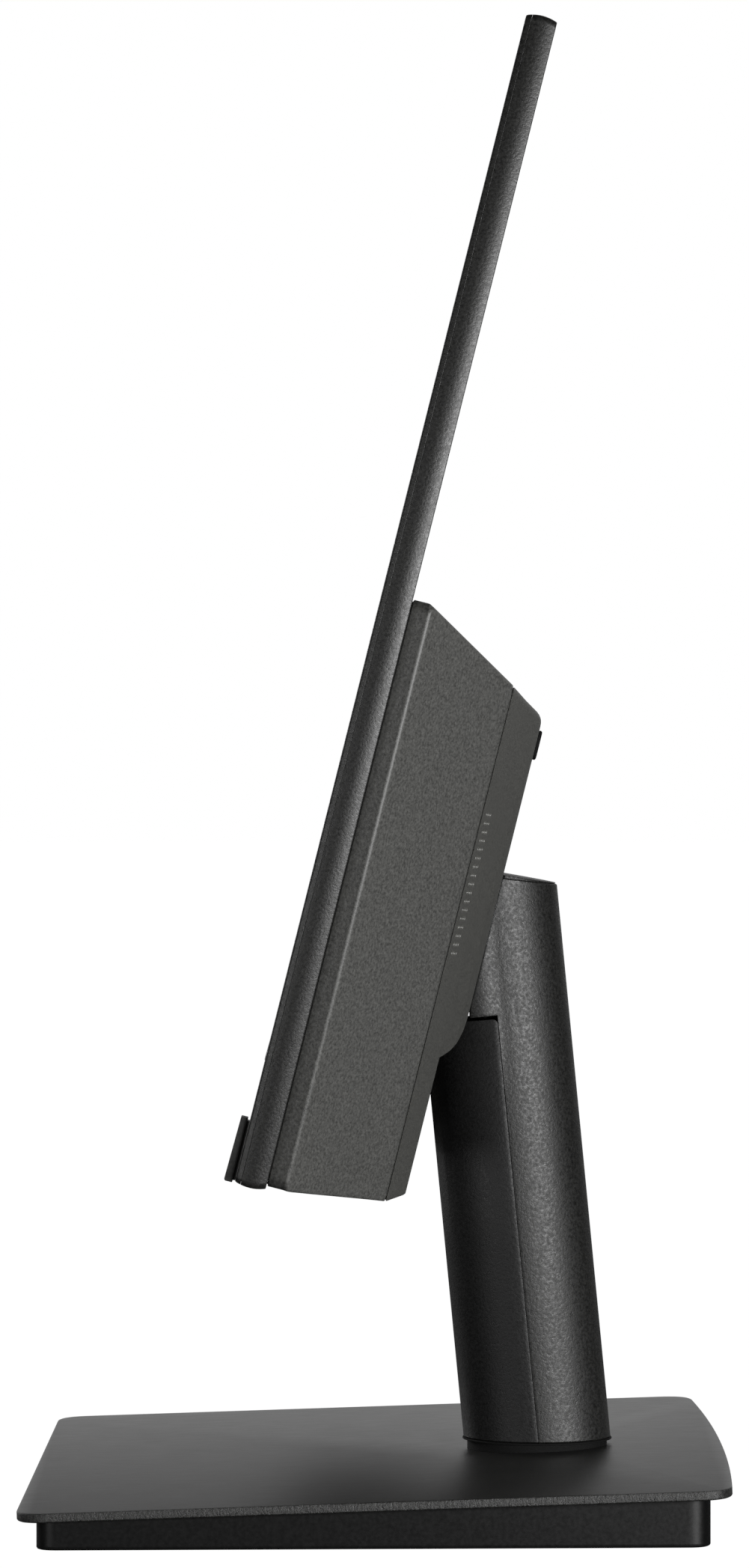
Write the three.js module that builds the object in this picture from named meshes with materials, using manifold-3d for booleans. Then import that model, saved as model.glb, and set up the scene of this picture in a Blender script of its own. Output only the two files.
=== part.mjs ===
// All in one desktop computer: a thin screen with the computer housing behind its lower half,
// on a tilting, leaning column over a flat base. Millimetres, +Z up. The screen faces -Y.
// The origin is on the desk, under the middle of the bounding box.

import * as THREE from 'three';
import { mergeVertices } from 'three/addons/utils/BufferGeometryUtils.js';
import Module from 'manifold-3d';

const wasm = await Module();
wasm.setup();

// ---------------------------------------------------------------- driving dimensions

const GAP = 0.3; // between pieces that touch
const DEG = Math.PI / 180;

// Whole machine
const SCREEN_TILT = 14.04 * DEG; // the screen leans back at rest
const COLUMN_LEAN = 5.55 * DEG; // the column leans towards the user

// Tilt hinge axis, in the machine's frame and in the screen's own frame
const HINGE_Y = 39.85;
const HINGE_Z = 170.65;
const HINGE_DEPTH = 53.3; // behind the screen's rear face
const HINGE_RISE = 70.6; // above the screen's lower edge

// Screen: y = 0 is its rear face, z = 0 its lower edge
const SCREEN_HALF = 244.3;
const SCREEN_HEIGHT = 306;
const SCREEN_FRONT = -8.12;
const SCREEN_BULGE = 0.7; // the side walls swell by this at mid thickness
const SCREEN_CORNER = 1.8;
const BEZEL_BACK = -6.55;
const PICTURE_HALF = 238.3;
const PICTURE_LOW = 30.2;
const PICTURE_HIGH = 298.8;
const PANEL_HALF = 240; // outline of the panel, its light and its frame
const PANEL_LOW = 28.6;
const PANEL_HIGH = 300.4;

// Computer housing behind the screen
const FLANGE_HALF = 236;
const FLANGE_TOP = 154.9;
const FOLD_DEPTH = 5.7;
const SEAM_DEPTH = 31.2;
const SEAM_HALF = 198;
const SEAM_TOP = 140.2;
const PAD_DEPTH = 42.2; // rear face of the raised upper pad
const PAD_HALF = 148;
const LOWER_DEPTH = 36.7; // rear face below the pad
const WALL = 2;
const CHANNEL_HALF = 20; // recess that the column swings into
const CHANNEL_FLOOR = 23.5;
const CHANNEL_TOP = 62.5;

// Port bay in the lower rear face
const BAY_LEFT = -122;
const BAY_RIGHT = -38;
const BAY_LOW = 7;
const BAY_HIGH = 25;
const PORT_BOARD_DEPTH = 17.4;
const PORT_MOUTH = 34.2;

// Column: its own frame starts at the middle of its foot
const COLUMN_Y = 47.5;
const COLUMN_Z = 19.4;
const COLUMN_DEEP = 22; // half depth of the oval section
const COLUMN_WIDE = 16.5; // half width of the oval section
const COLUMN_WALL = 2.1;
const HEAD_START = 128; // height where the head begins
const HEAD_FRONT = 45.9; // head's front plane, in the screen's frame
const COVER_FRONT = 38.5; // front cover is cut to this plane, in the screen's frame
const POST_TOP = 125.5;
const SHELL_TOP = 169.7; // height of the sloping top on the column's axis
const SHELL_TOP_SLOPE = 13 * DEG;
const CAP_TOP_SLOPE = 15 * DEG; // the cap is thin at the back and thicker at the front

// Base
const PLATE_SLOPE = Math.atan(0.0337);
const PLATE_TOP = 14.87; // height of the plate's top over the origin
const PLATE_THICK = 2.73;
const PLATE_HALF = 104.5;
const PLATE_FRONT = -102.6;
const PLATE_REAR = 99.2;
const PLATE_BOW = 3.4;
const TRAY_BOTTOM = 0.8;
const TRAY_FRONT = -96.9;
const TRAY_REAR = 93.3;
const TRAY_HALF_FRONT = 101.5;
const TRAY_HALF_REAR = 96.5;

// ---------------------------------------------------------------- materials

const FINISHES = {
  blackPlastic: { color: 0x2b2b2a, roughness: 0.5, metalness: 0 },
  darkPlastic: { color: 0x161616, roughness: 0.6, metalness: 0 },
  glossPlastic: { color: 0x0b0b0c, roughness: 0.2, metalness: 0 },
  glass: { color: 0x060709, roughness: 0.08, metalness: 0 },
  diffuser: { color: 0xdcdedd, roughness: 0.6, metalness: 0 },
  sheetSteel: { color: 0x9a9c9d, roughness: 0.4, metalness: 1 },
  paintedSteel: { color: 0x4b4c4a, roughness: 0.45, metalness: 0.4 },
  darkSteel: { color: 0x3a3b3c, roughness: 0.4, metalness: 1 },
  copper: { color: 0xb06a3c, roughness: 0.3, metalness: 1 },
  aluminium: { color: 0xb9bbbc, roughness: 0.35, metalness: 1 },
  board: { color: 0x0f3d25, roughness: 0.5, metalness: 0 },
  rubber: { color: 0x101010, roughness: 0.9, metalness: 0 },
};

// ---------------------------------------------------------------- solids

// The library's solid for a closed geometry.
function solid(geometry) {
  const plain = geometry.index ? geometry.toNonIndexed() : geometry.clone();
  plain.deleteAttribute('normal');
  plain.deleteAttribute('uv');
  const merged = mergeVertices(plain, 1e-4);
  return new wasm.Manifold(
    new wasm.Mesh({
      numProp: 3,
      vertProperties: merged.attributes.position.array,
      triVerts: new Uint32Array(merged.index.array),
    }),
  );
}

// The three.js geometry for a solid.
function shape(made) {
  const mesh = made.getMesh();
  const geometry = new THREE.BufferGeometry();
  geometry.setAttribute('position', new THREE.BufferAttribute(mesh.vertProperties, 3));
  geometry.setIndex(new THREE.BufferAttribute(mesh.triVerts, 1));
  return geometry;
}

function cut(body, ...tools) {
  return shape(tools.reduce((left, tool) => left.subtract(solid(tool)), solid(body)));
}

function join(...bodies) {
  return shape(bodies.map(solid).reduce((sum, next) => sum.add(next)));
}

function common(body, tool) {
  return shape(solid(body).intersect(solid(tool)));
}

function box([x0, x1], [y0, y1], [z0, z1]) {
  const geometry = new THREE.BoxGeometry(x1 - x0, y1 - y0, z1 - z0);
  return geometry.translate((x0 + x1) / 2, (y0 + y1) / 2, (z0 + z1) / 2);
}

function rodX(radius, [x0, x1], y, z, sides = 24) {
  const geometry = new THREE.CylinderGeometry(radius, radius, x1 - x0, sides);
  return geometry.rotateZ(-Math.PI / 2).translate((x0 + x1) / 2, y, z);
}

function rodY(radius, [y0, y1], x, z, sides = 24) {
  const geometry = new THREE.CylinderGeometry(radius, radius, y1 - y0, sides);
  return geometry.translate(x, (y0 + y1) / 2, z);
}

function rodZ(radius, [z0, z1], x, y, sides = 24) {
  const geometry = new THREE.CylinderGeometry(radius, radius, z1 - z0, sides);
  return geometry.rotateX(Math.PI / 2).translate(x, y, (z0 + z1) / 2);
}

function outline(points) {
  return new THREE.Shape(points.map(([u, v]) => new THREE.Vector2(u, v)));
}

function extrude(section, depth, curveSegments = 8) {
  return new THREE.ExtrudeGeometry(section, { depth, bevelEnabled: false, curveSegments });
}

// A section drawn in (y, z), swept from x0 to x1.
function prismX(section, [x0, x1]) {
  const turn = new THREE.Matrix4().makeBasis(
    new THREE.Vector3(0, 1, 0),
    new THREE.Vector3(0, 0, 1),
    new THREE.Vector3(1, 0, 0),
  );
  return extrude(section, x1 - x0).applyMatrix4(turn).translate(x0, 0, 0);
}

// A closed solid through rings of equally many points, with flat ends.
function loft(rings) {
  const count = rings[0].length;
  const last = (rings.length - 1) * count;
  const index = [];
  for (let ring = 0; ring < last; ring += count) {
    for (let i = 0; i < count; i += 1) {
      const a = ring + i;
      const b = ring + ((i + 1) % count);
      index.push(a, b, b + count, a, b + count, a + count);
    }
  }
  for (let i = 1; i + 1 < count; i += 1) {
    index.push(0, i + 1, i, last, last + i, last + i + 1);
  }
  const geometry = new THREE.BufferGeometry().setFromPoints(rings.flat());
  geometry.setIndex(index);
  return geometry;
}

// A rounded rectangle across the screen's depth axis, as one ring of a loft.
function plateRing(y, half, low, high, corner, steps = 4) {
  const centres = [
    [half - corner, low + corner, -90],
    [-half + corner, low + corner, -180],
    [-half + corner, high - corner, -270],
    [half - corner, high - corner, -360],
  ];
  const ring = [];
  for (const [x, z, end] of centres) {
    for (let i = 0; i <= steps; i += 1) {
      const angle = (end + 90 - (90 * i) / steps) * DEG;
      ring.push(new THREE.Vector3(x + corner * Math.cos(angle), y, z + corner * Math.sin(angle)));
    }
  }
  return ring;
}

function oval(deep, wide, steps = 40) {
  const points = [];
  for (let i = 0; i < steps; i += 1) {
    const angle = (i * 2 * Math.PI) / steps;
    points.push([wide * Math.cos(angle), deep * Math.sin(angle)]);
  }
  return outline(points);
}

// ---------------------------------------------------------------- scene graph

const machine = new THREE.Group();
const tilt = new THREE.Group();
const screen = new THREE.Group();
const column = new THREE.Group();
const deck = new THREE.Group();

tilt.position.set(0, HINGE_Y, HINGE_Z);
tilt.rotation.x = -SCREEN_TILT;
screen.position.set(0, -HINGE_DEPTH, -HINGE_RISE);
column.position.set(0, COLUMN_Y, COLUMN_Z);
column.rotation.x = COLUMN_LEAN;
deck.position.set(0, 0, PLATE_TOP);
deck.rotation.x = PLATE_SLOPE;

machine.add(tilt, column, deck);
tilt.add(screen);

function add(parent, name, geometry, finish) {
  const mesh = new THREE.Mesh(geometry, new THREE.MeshStandardMaterial(FINISHES[finish]));
  mesh.name = name;
  parent.add(mesh);
}

// ---------------------------------------------------------------- base

function baseOutline(halfFront, halfRear, front, rear, corner) {
  const bow = PLATE_BOW;
  const section = new THREE.Shape();
  section.moveTo(-halfFront + corner, front);
  section.lineTo(halfFront - corner, front);
  section.quadraticCurveTo(halfFront, front, halfFront, front + corner);
  section.lineTo(halfRear, rear - corner);
  section.quadraticCurveTo(halfRear, rear, halfRear - corner, rear + bow * 0.2);
  section.quadraticCurveTo(0, rear + bow * 1.8, -halfRear + corner, rear + bow * 0.2);
  section.quadraticCurveTo(-halfRear, rear, -halfRear, rear - corner);
  section.lineTo(-halfFront, front + corner);
  section.quadraticCurveTo(-halfFront, front, -halfFront + corner, front);
  return section;
}

const SCREW_REACH = 7; // base screws stand this far in front of and behind the column's middle
const screwSpots = [COLUMN_Y - SCREW_REACH, COLUMN_Y + SCREW_REACH];

function basePlate() {
  const corner = 9.5;
  const section = baseOutline(PLATE_HALF, PLATE_HALF, PLATE_FRONT, PLATE_REAR, corner);
  const plate = extrude(section, PLATE_THICK, 6).translate(0, 0, -PLATE_THICK);
  const holes = screwSpots.map((y) => rodZ(2.9, [-PLATE_THICK - 1, 1], 0, y, 16));
  return cut(plate, ...holes);
}

// Everything above the plate's underside, less a gap, as seen by the level pieces below it.
function abovePlate(clear) {
  const tool = box([-200, 200], [-200, 200], [-PLATE_THICK - clear, 60]);
  return tool.rotateX(PLATE_SLOPE).translate(0, 0, PLATE_TOP);
}

const footSpots = [
  ['foot_pad_front_left', -84, -80],
  ['foot_pad_front_right', 84, -80],
  ['foot_pad_rear_left', -80, 76],
  ['foot_pad_rear_right', 80, 76],
];
const FOOT_RADIUS = 8;

function baseTray() {
  const corner = 6;
  const wall = 2.2;
  const tall = 24;
  const outer = extrude(
    baseOutline(TRAY_HALF_FRONT, TRAY_HALF_REAR, TRAY_FRONT, TRAY_REAR, corner),
    tall,
    5,
  );
  const inner = extrude(
    baseOutline(
      TRAY_HALF_FRONT - wall,
      TRAY_HALF_REAR - wall,
      TRAY_FRONT + wall,
      TRAY_REAR - wall,
      corner - wall,
    ),
    tall,
    5,
  );
  const feet = footSpots.map(([, x, y]) => rodZ(FOOT_RADIUS + GAP, [0, 1.7], x, y));
  const ways = screwSpots.map((y) => rodZ(5.5, [0, 5], 0, y, 16));
  return cut(
    outer.translate(0, 0, TRAY_BOTTOM),
    inner.translate(0, 0, TRAY_BOTTOM + wall),
    abovePlate(GAP),
    ...feet,
    ...ways,
  );
}

function baseWeight() {
  const section = baseOutline(92, 88, -88, 84, 5);
  const plate = extrude(section, 4.4, 4).translate(0, 0, 3.3);
  return cut(plate, ...screwSpots.map((y) => rodZ(6, [0, 12], 0, y, 16)));
}

function baseScrew(y) {
  const under = PLATE_TOP - PLATE_THICK + y * Math.tan(PLATE_SLOPE);
  const head = rodZ(4.2, [under - 3.2, under - 0.5], 0, y, 20);
  const shank = rodZ(2.2, [under - 1, under + 7], 0, y, 12);
  return join(head, shank);
}

function buildBase() {
  add(deck, 'base_plate', basePlate(), 'paintedSteel');
  add(machine, 'base_tray', baseTray(), 'darkPlastic');
  add(machine, 'base_weight', baseWeight(), 'darkSteel');
  for (const [name, x, y] of footSpots) {
    add(machine, name, rodZ(FOOT_RADIUS, [0, 1.4], x, y), 'rubber');
  }
  add(machine, 'base_screw_front', baseScrew(screwSpots[0]), 'sheetSteel');
  add(machine, 'base_screw_rear', baseScrew(screwSpots[1]), 'sheetSteel');
}

// ---------------------------------------------------------------- column

const HINGE_UP = 151.3; // hinge axis in the column's frame
const HINGE_BACK = 7;

// A block in the screen's resting frame, brought into the column's frame.
function screenBlock(xs, ys, zs) {
  return box(xs, ys, zs)
    .translate(0, -HINGE_DEPTH, -HINGE_RISE)
    .rotateX(-SCREEN_TILT - COLUMN_LEAN)
    .translate(0, HINGE_BACK, HINGE_UP);
}

// The space over the column's sloping top, raised by a step.
function overTop(step) {
  const tool = box([-60, 60], [-80, 80], [0, 90]);
  return tool.rotateX(-SHELL_TOP_SLOPE).translate(0, 0, SHELL_TOP + step);
}

// The space over the cap, whose top starts a little above the shell's rear edge.
function overCap() {
  const edge = 0.45;
  const rear = SHELL_TOP - COLUMN_DEEP * Math.tan(SHELL_TOP_SLOPE) + edge;
  const tool = box([-60, 60], [-80, 80], [0, 90]);
  return tool.rotateX(-CAP_TOP_SLOPE).translate(0, COLUMN_DEEP, rear);
}

// The space under the column's level foot.
function underFoot() {
  return box([-60, 60], [-60, 60], [-60, 0]).rotateX(-COLUMN_LEAN);
}

function tube(deep, wide, low, high) {
  return extrude(oval(deep, wide), high - low).translate(0, 0, low);
}

const headFrontCut = () => screenBlock([-60, 60], [-90, HEAD_FRONT], [-200, 200]);
const coverFrontCut = () => screenBlock([-60, 60], [-90, COVER_FRONT], [-200, 200]);

// The head's sides flare a little towards the screen: half width and depth, from the back.
const HEAD_FLARE = [
  [16.3, 3],
  [16.95, 0],
  [17.5, -3],
  [17.6, -5],
  [17.2, -8.5],
];

function headFlare() {
  const other = HEAD_FLARE.map(([x, y]) => [-x, y]).reverse();
  const height = 190 - HEAD_START;
  return extrude(outline([...HEAD_FLARE, ...other]), height).translate(0, 0, HEAD_START);
}

function rearShell() {
  const outer = join(tube(COLUMN_DEEP, COLUMN_WIDE, -10, 190), headFlare());
  const inner = tube(COLUMN_DEEP - COLUMN_WALL, COLUMN_WIDE - COLUMN_WALL, -12, 192);
  const frontHalf = box([-60, 60], [-60, 0.15], [-20, HEAD_START]);
  const aheadOfHead = common(headFrontCut(), box([-60, 60], [-90, 90], [HEAD_START - 1, 240]));
  return cut(outer, inner, frontHalf, aheadOfHead, overTop(0), underFoot());
}

function frontCover() {
  const outer = tube(COLUMN_DEEP, COLUMN_WIDE, -10, HEAD_START - 0.5);
  const inner = tube(COLUMN_DEEP - COLUMN_WALL, COLUMN_WIDE - COLUMN_WALL, -12, HEAD_START + 5);
  const rearHalf = box([-60, 60], [-0.15, 60], [-20, 200]);
  return cut(outer, inner, rearHalf, coverFrontCut(), underFoot());
}

function topCap() {
  const lid = tube(COLUMN_DEEP - 0.1, COLUMN_WIDE - 0.1, 140, 200);
  const plug = tube(COLUMN_DEEP - COLUMN_WALL - GAP, COLUMN_WIDE - COLUMN_WALL - GAP, 140, 200);
  const behindHeadFront = screenBlock([-60, 60], [HEAD_FRONT + 0.4, 200], [-200, 200]);
  const lidPart = cut(common(lid, overTop(GAP)), overCap());
  const plugPart = cut(common(plug, overTop(-2.5)), overTop(0.5));
  return common(join(lidPart, plugPart), behindHeadFront);
}

function columnPost() {
  const outer = box([-10, 10], [-12, 12], [-0.8, POST_TOP]);
  const inner = box([-8, 8], [-10, 10], [3.5, POST_TOP + 5]);
  const holes = [-SCREW_REACH, SCREW_REACH].map((y) => rodZ(3.4, [-5, 5], 0, y, 16));
  return cut(outer, inner, ...holes);
}

// Dark foot ring that carries the column's shells above the plate.
function footCollar() {
  const lip = extrude(oval(COLUMN_DEEP + 0.5, COLUMN_WIDE + 0.5), 0.7).translate(0, COLUMN_Y, 18.4);
  const body = extrude(oval(COLUMN_DEEP - 1, COLUMN_WIDE - 1), 8).translate(0, COLUMN_Y, 11);
  const hollow = box([-10.7, 10.7], [COLUMN_Y - 13.2, COLUMN_Y + 13.2], [8, 30]);
  const plate = box([-60, 60], [-60, 160], [-40, GAP]);
  const below = plate.rotateX(PLATE_SLOPE).translate(0, 0, PLATE_TOP);
  return cut(join(lip, body), hollow, below);
}

function fixedBracket() {
  const ear = (x0, x1) =>
    join(
      box([x0, x1], [HINGE_BACK - 6.3, HINGE_BACK + 6.3], [127, HINGE_UP]),
      rodX(6.3, [x0, x1], HINGE_BACK, HINGE_UP),
    );
  const foot = box([-9, 9], [-4, 13.3], [POST_TOP + GAP, 129]);
  const bore = rodX(3.3, [-20, 20], HINGE_BACK, HINGE_UP);
  return cut(join(foot, ear(3.2, 6), ear(-6, -3.2)), bore);
}

function hingeAxle() {
  const pin = rodX(3, [-10, 11.4], HINGE_BACK, HINGE_UP);
  const head = rodX(4, [-11.2, -9.5], HINGE_BACK, HINGE_UP);
  return join(pin, head);
}

function ring(outer, inner, xs, y, z, sides = 24) {
  const longer = [xs[0] - 1, xs[1] + 1];
  return cut(rodX(outer, xs, y, z, sides), rodX(inner, longer, y, z));
}

function buildColumn() {
  add(column, 'column_rear_shell', rearShell(), 'blackPlastic');
  add(column, 'column_front_cover', frontCover(), 'darkPlastic');
  add(column, 'column_top_cap', topCap(), 'blackPlastic');
  add(column, 'column_post', columnPost(), 'sheetSteel');
  add(machine, 'column_foot_collar', footCollar(), 'rubber');
  add(column, 'hinge_fixed_bracket', fixedBracket(), 'darkSteel');
  add(column, 'hinge_axle', hingeAxle(), 'sheetSteel');
  add(column, 'hinge_nut', ring(4.2, 3.3, [9.5, 11.1], HINGE_BACK, HINGE_UP, 6), 'sheetSteel');
  for (const [name, low] of [['left', -6.9], ['right', 6.3]]) {
    const washer = ring(5.6, 3.4, [low, low + 0.6], HINGE_BACK, HINGE_UP);
    add(column, `friction_washer_${name}`, washer, 'darkSteel');
  }
}

// ---------------------------------------------------------------- screen

// How far the side wall swells beyond its edge at a given depth.
function bulge(y) {
  const middle = SCREEN_FRONT / 2;
  return SCREEN_BULGE * (1 - ((y - middle) / middle) ** 2);
}

function screenRing(y, inset = 0) {
  const grow = bulge(y) - inset;
  return plateRing(
    y,
    SCREEN_HALF + grow,
    -grow,
    SCREEN_HEIGHT + grow,
    Math.max(SCREEN_CORNER - inset, 0.6),
  );
}

const SHUTTER_Z = 302; // height of the camera lens and its shutter

function frontBezel() {
  const outer = loft([SCREEN_FRONT, -7.4, BEZEL_BACK].map((y) => screenRing(y)));
  const picture = box([-PICTURE_HALF, PICTURE_HALF], [-20, 20], [PICTURE_LOW, PICTURE_HIGH]);
  const lens = rodY(1.3, [-20, 20], 0, SHUTTER_Z, 16);
  const track = box([-12, 4], [-20, SCREEN_FRONT + 0.9], [SHUTTER_Z - 2.1, SHUTTER_Z + 2.1]);
  return cut(outer, picture, lens, track);
}

function screenRearCover() {
  const depths = [BEZEL_BACK + GAP, -5.2, -4.06, -2.9, -1.5, -0.4, 0];
  const outer = loft(depths.map((y) => screenRing(y)));
  const wall = 1.9;
  const top = SCREEN_HEIGHT - wall;
  const inner = loft([-10, -1.5].map((y) => plateRing(y, SCREEN_HALF - wall, 1.6, top, 1.4)));
  const cableWay = box([-60, 60], [-10, 5], [70, 130]);
  return cut(outer, inner, cableWay);
}

// Rubber pads low on the front, which the screen rests on when it is laid on its face.
const BUMPER_X = 239;
const BUMPER_HALF = 3;

function frontBumper(side) {
  const section = outline([
    [SCREEN_FRONT - GAP, -0.5],
    [SCREEN_FRONT - GAP, 16.3],
    [-10.5, 16.3],
    [-10.9, -0.1],
    [-10.6, -0.5],
  ]);
  const x = side * BUMPER_X;
  return prismX(section, [x - BUMPER_HALF, x + BUMPER_HALF]);
}

function panelLayer(y0, y1) {
  return box([-PANEL_HALF, PANEL_HALF], [y0, y1], [PANEL_LOW, PANEL_HIGH]);
}

function buildScreen() {
  add(screen, 'front_bezel', frontBezel(), 'blackPlastic');
  add(screen, 'screen_panel', panelLayer(-6.2, -4.9), 'glass');
  add(screen, 'backlight_unit', panelLayer(-4.6, -2.8), 'diffuser');
  add(screen, 'panel_back_frame', panelLayer(-2.5, -1.8), 'sheetSteel');
  add(screen, 'screen_rear_cover', screenRearCover(), 'blackPlastic');
  for (const [name, side] of [['left', -1], ['right', 1]]) {
    add(screen, `front_bumper_${name}`, frontBumper(side), 'rubber');
  }
  add(screen, 'webcam_module', box([-12, 12], [-6.2, -3.4], [300.8, 303.5]), 'glossPlastic');
  const shutter = box([-11.5, -4.5], [SCREEN_FRONT + 0.1, SCREEN_FRONT + 0.6], [
    SHUTTER_Z - 1.8,
    SHUTTER_Z + 1.8,
  ]);
  add(screen, 'webcam_shutter', shutter, 'glossPlastic');
}

// ---------------------------------------------------------------- housing and rear cover

const BUTTON_X = -200;
const BUTTON_Y = 12;

function housingOuter() {
  return loft([
    plateRing(GAP, FLANGE_HALF, -0.1, FLANGE_TOP, 3.5),
    plateRing(FOLD_DEPTH - 0.6, FLANGE_HALF - 0.1, -0.1, FLANGE_TOP - 0.4, 3.5),
    plateRing(FOLD_DEPTH + 0.2, FLANGE_HALF - 0.9, 0, FLANGE_TOP - 0.8, 3.5),
    plateRing(SEAM_DEPTH, SEAM_HALF, 0.3, SEAM_TOP, 4),
  ]);
}

function housingInner() {
  const beyond = 1;
  return loft([
    plateRing(-beyond, FLANGE_HALF - 2.2, 2, FLANGE_TOP - 2.3, 1.5),
    plateRing(FOLD_DEPTH - 1, FLANGE_HALF - 2.4, 2, FLANGE_TOP - 2.6, 1.5),
    plateRing(SEAM_DEPTH + beyond, SEAM_HALF - 4.9, 2.3, SEAM_TOP - 2.8, 2),
  ]);
}

// Exhaust slots through the sloping top of the housing.
function exhaustSlots() {
  const slots = [];
  for (const side of [-1, 1]) {
    for (let i = 0; i < 12; i += 1) {
      const x = side * (50 + i * 5.2);
      slots.push(box([x - 1.2, x + 1.2], [9, 27], [135, 160]));
    }
  }
  return slots;
}

const channel = () =>
  box([-CHANNEL_HALF, CHANNEL_HALF], [CHANNEL_FLOOR, 60], [-20, CHANNEL_TOP]);

function computeHousing() {
  const notch = box(
    [-CHANNEL_HALF - WALL - GAP, CHANNEL_HALF + WALL + GAP],
    [CHANNEL_FLOOR - WALL - GAP, 60],
    [-20, 10],
  );
  const button = box([BUTTON_X - 6.4, BUTTON_X + 6.4], [BUTTON_Y - 3.2, BUTTON_Y + 3.2], [-5, 5]);
  return cut(housingOuter(), housingInner(), notch, button, ...exhaustSlots());
}

// The step between the raised pad and the lower rear face, as the space behind it.
function stepSpace(inset) {
  const section = outline([
    [LOWER_DEPTH - inset, -10],
    [80, -10],
    [80, 46.5 + inset],
    [PAD_DEPTH - inset, 46.5 + inset],
    [41 - inset, 41 + inset],
    [LOWER_DEPTH + 1 - inset, 38 + inset],
    [LOWER_DEPTH - inset, 37.2 + inset],
  ]);
  return prismX(section, [-220, 220]);
}

function coverOuter() {
  return loft([
    plateRing(SEAM_DEPTH + GAP, SEAM_HALF - 0.4, 0.3, SEAM_TOP - 0.2, 4),
    plateRing(LOWER_DEPTH - 0.6, 175, 1, 137.4, 4),
    plateRing(LOWER_DEPTH + 4.3, 155.5, 4, 135, 4),
    plateRing(PAD_DEPTH, PAD_HALF, 6, 132.5, 4),
  ]);
}

function coverInner() {
  return loft([
    plateRing(SEAM_DEPTH - 1, SEAM_HALF - 3.8, 2.3, SEAM_TOP - 2.6, 2.5),
    plateRing(LOWER_DEPTH - 2.4, 171, 3, 135.2, 2.5),
    plateRing(PAD_DEPTH - WALL, 150, 6, 131.8, 2.5),
  ]);
}

// Intake slots through the raised pad, over the fan and mirrored for looks.
function intakeSlots() {
  const slots = [];
  for (const side of [-1, 1]) {
    for (let i = 0; i < 9; i += 1) {
      const x = side * (62 + i * 6);
      slots.push(box([x - 1.2, x + 1.2], [36, 50], [62, 106]));
    }
  }
  return slots;
}

function rearCover() {
  const outer = cut(coverOuter(), stepSpace(0));
  const inner = cut(coverInner(), stepSpace(WALL));
  const trough = cut(
    box(
      [-CHANNEL_HALF - WALL, CHANNEL_HALF + WALL],
      [CHANNEL_FLOOR - WALL, PAD_DEPTH - 0.5],
      [0.6, CHANNEL_TOP + WALL],
    ),
    stepSpace(0.5),
  );
  const bay = box([BAY_LEFT, BAY_RIGHT], [30, 60], [BAY_LOW, BAY_HIGH]);
  return cut(join(cut(outer, inner), trough), channel(), bay, ...intakeSlots());
}

function buildHousing() {
  add(screen, 'compute_housing', computeHousing(), 'blackPlastic');
  add(screen, 'computer_rear_cover', rearCover(), 'blackPlastic');
  for (const [name, low] of [['left', -145.6], ['right', 125.6]]) {
    const pad = box([low, low + 20], [PAD_DEPTH + 0.1, PAD_DEPTH + 1], [122.6, 130.8]);
    add(screen, `rear_bumper_${name}`, pad, 'rubber');
  }
  const stem = box([BUTTON_X - 6, BUTTON_X + 6], [BUTTON_Y - 2.8, BUTTON_Y + 2.8], [-0.9, 3.2]);
  const flange = box([BUTTON_X - 8, BUTTON_X + 8], [BUTTON_Y - 4.4, BUTTON_Y + 4.4], [2.4, 3.4]);
  add(screen, 'power_button', join(stem, flange), 'glossPlastic');
  const board = box([BUTTON_X - 9, BUTTON_X + 9], [BUTTON_Y - 5, BUTTON_Y + 5], [6.4, 8]);
  const knob = rodZ(1.6, [4.6, 6.6], BUTTON_X, BUTTON_Y, 12);
  add(screen, 'power_switch_board', join(board, knob), 'board');
}

// ---------------------------------------------------------------- tilt bracket

const BRACKET_HALF = 38;
const BRACKET_LOW = 64.6;
const BRACKET_HIGH = 108;
const HEAD_ROOM = 19; // half width of the notches that leave room for the column's head
const bracketScrews = [
  ['bracket_screw_1', -31, 72],
  ['bracket_screw_2', 31, 72],
  ['bracket_screw_3', -31, 100],
  ['bracket_screw_4', 31, 100],
];

function tiltBracket() {
  const plate = box(
    [-BRACKET_HALF, BRACKET_HALF],
    [PAD_DEPTH + GAP, PAD_DEPTH + 1.5],
    [BRACKET_LOW, BRACKET_HIGH],
  );
  const notch = (low, high) => box([-HEAD_ROOM, HEAD_ROOM], [PAD_DEPTH, PAD_DEPTH + 2], [low, high]);
  const above = notch(HINGE_RISE + 8, BRACKET_HIGH + 5);
  const below = notch(BRACKET_LOW - 5, HINGE_RISE - 4);
  const ear = (x0, x1) =>
    join(
      box([x0, x1], [PAD_DEPTH + 1, HINGE_DEPTH], [HINGE_RISE - 6, HINGE_RISE + 6]),
      rodX(6, [x0, x1], HINGE_DEPTH, HINGE_RISE),
    );
  const bore = rodX(3.3, [-20, 20], HINGE_DEPTH, HINGE_RISE);
  const holes = bracketScrews.map(([, x, z]) => rodY(2, [30, 60], x, z, 12));
  return cut(join(plate, ear(7.2, 9.2), ear(-9.2, -7.2)), bore, above, below, ...holes);
}

function bracketScrew(x, z) {
  const outside = PAD_DEPTH + 1.5 + GAP;
  return join(
    rodY(3.2, [outside, outside + 1.6], x, z, 12),
    rodY(1.6, [PAD_DEPTH + 0.6, outside + 0.5], x, z, 10),
  );
}

function buildBracket() {
  add(screen, 'tilt_bracket', tiltBracket(), 'sheetSteel');
  for (const [name, x, z] of bracketScrews) {
    add(screen, name, bracketScrew(x, z), 'darkSteel');
  }
}

// ---------------------------------------------------------------- computer inside the housing

const FAN_X = 86;
const FAN_Z = 84;
const FAN_HALF = 38;

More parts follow.
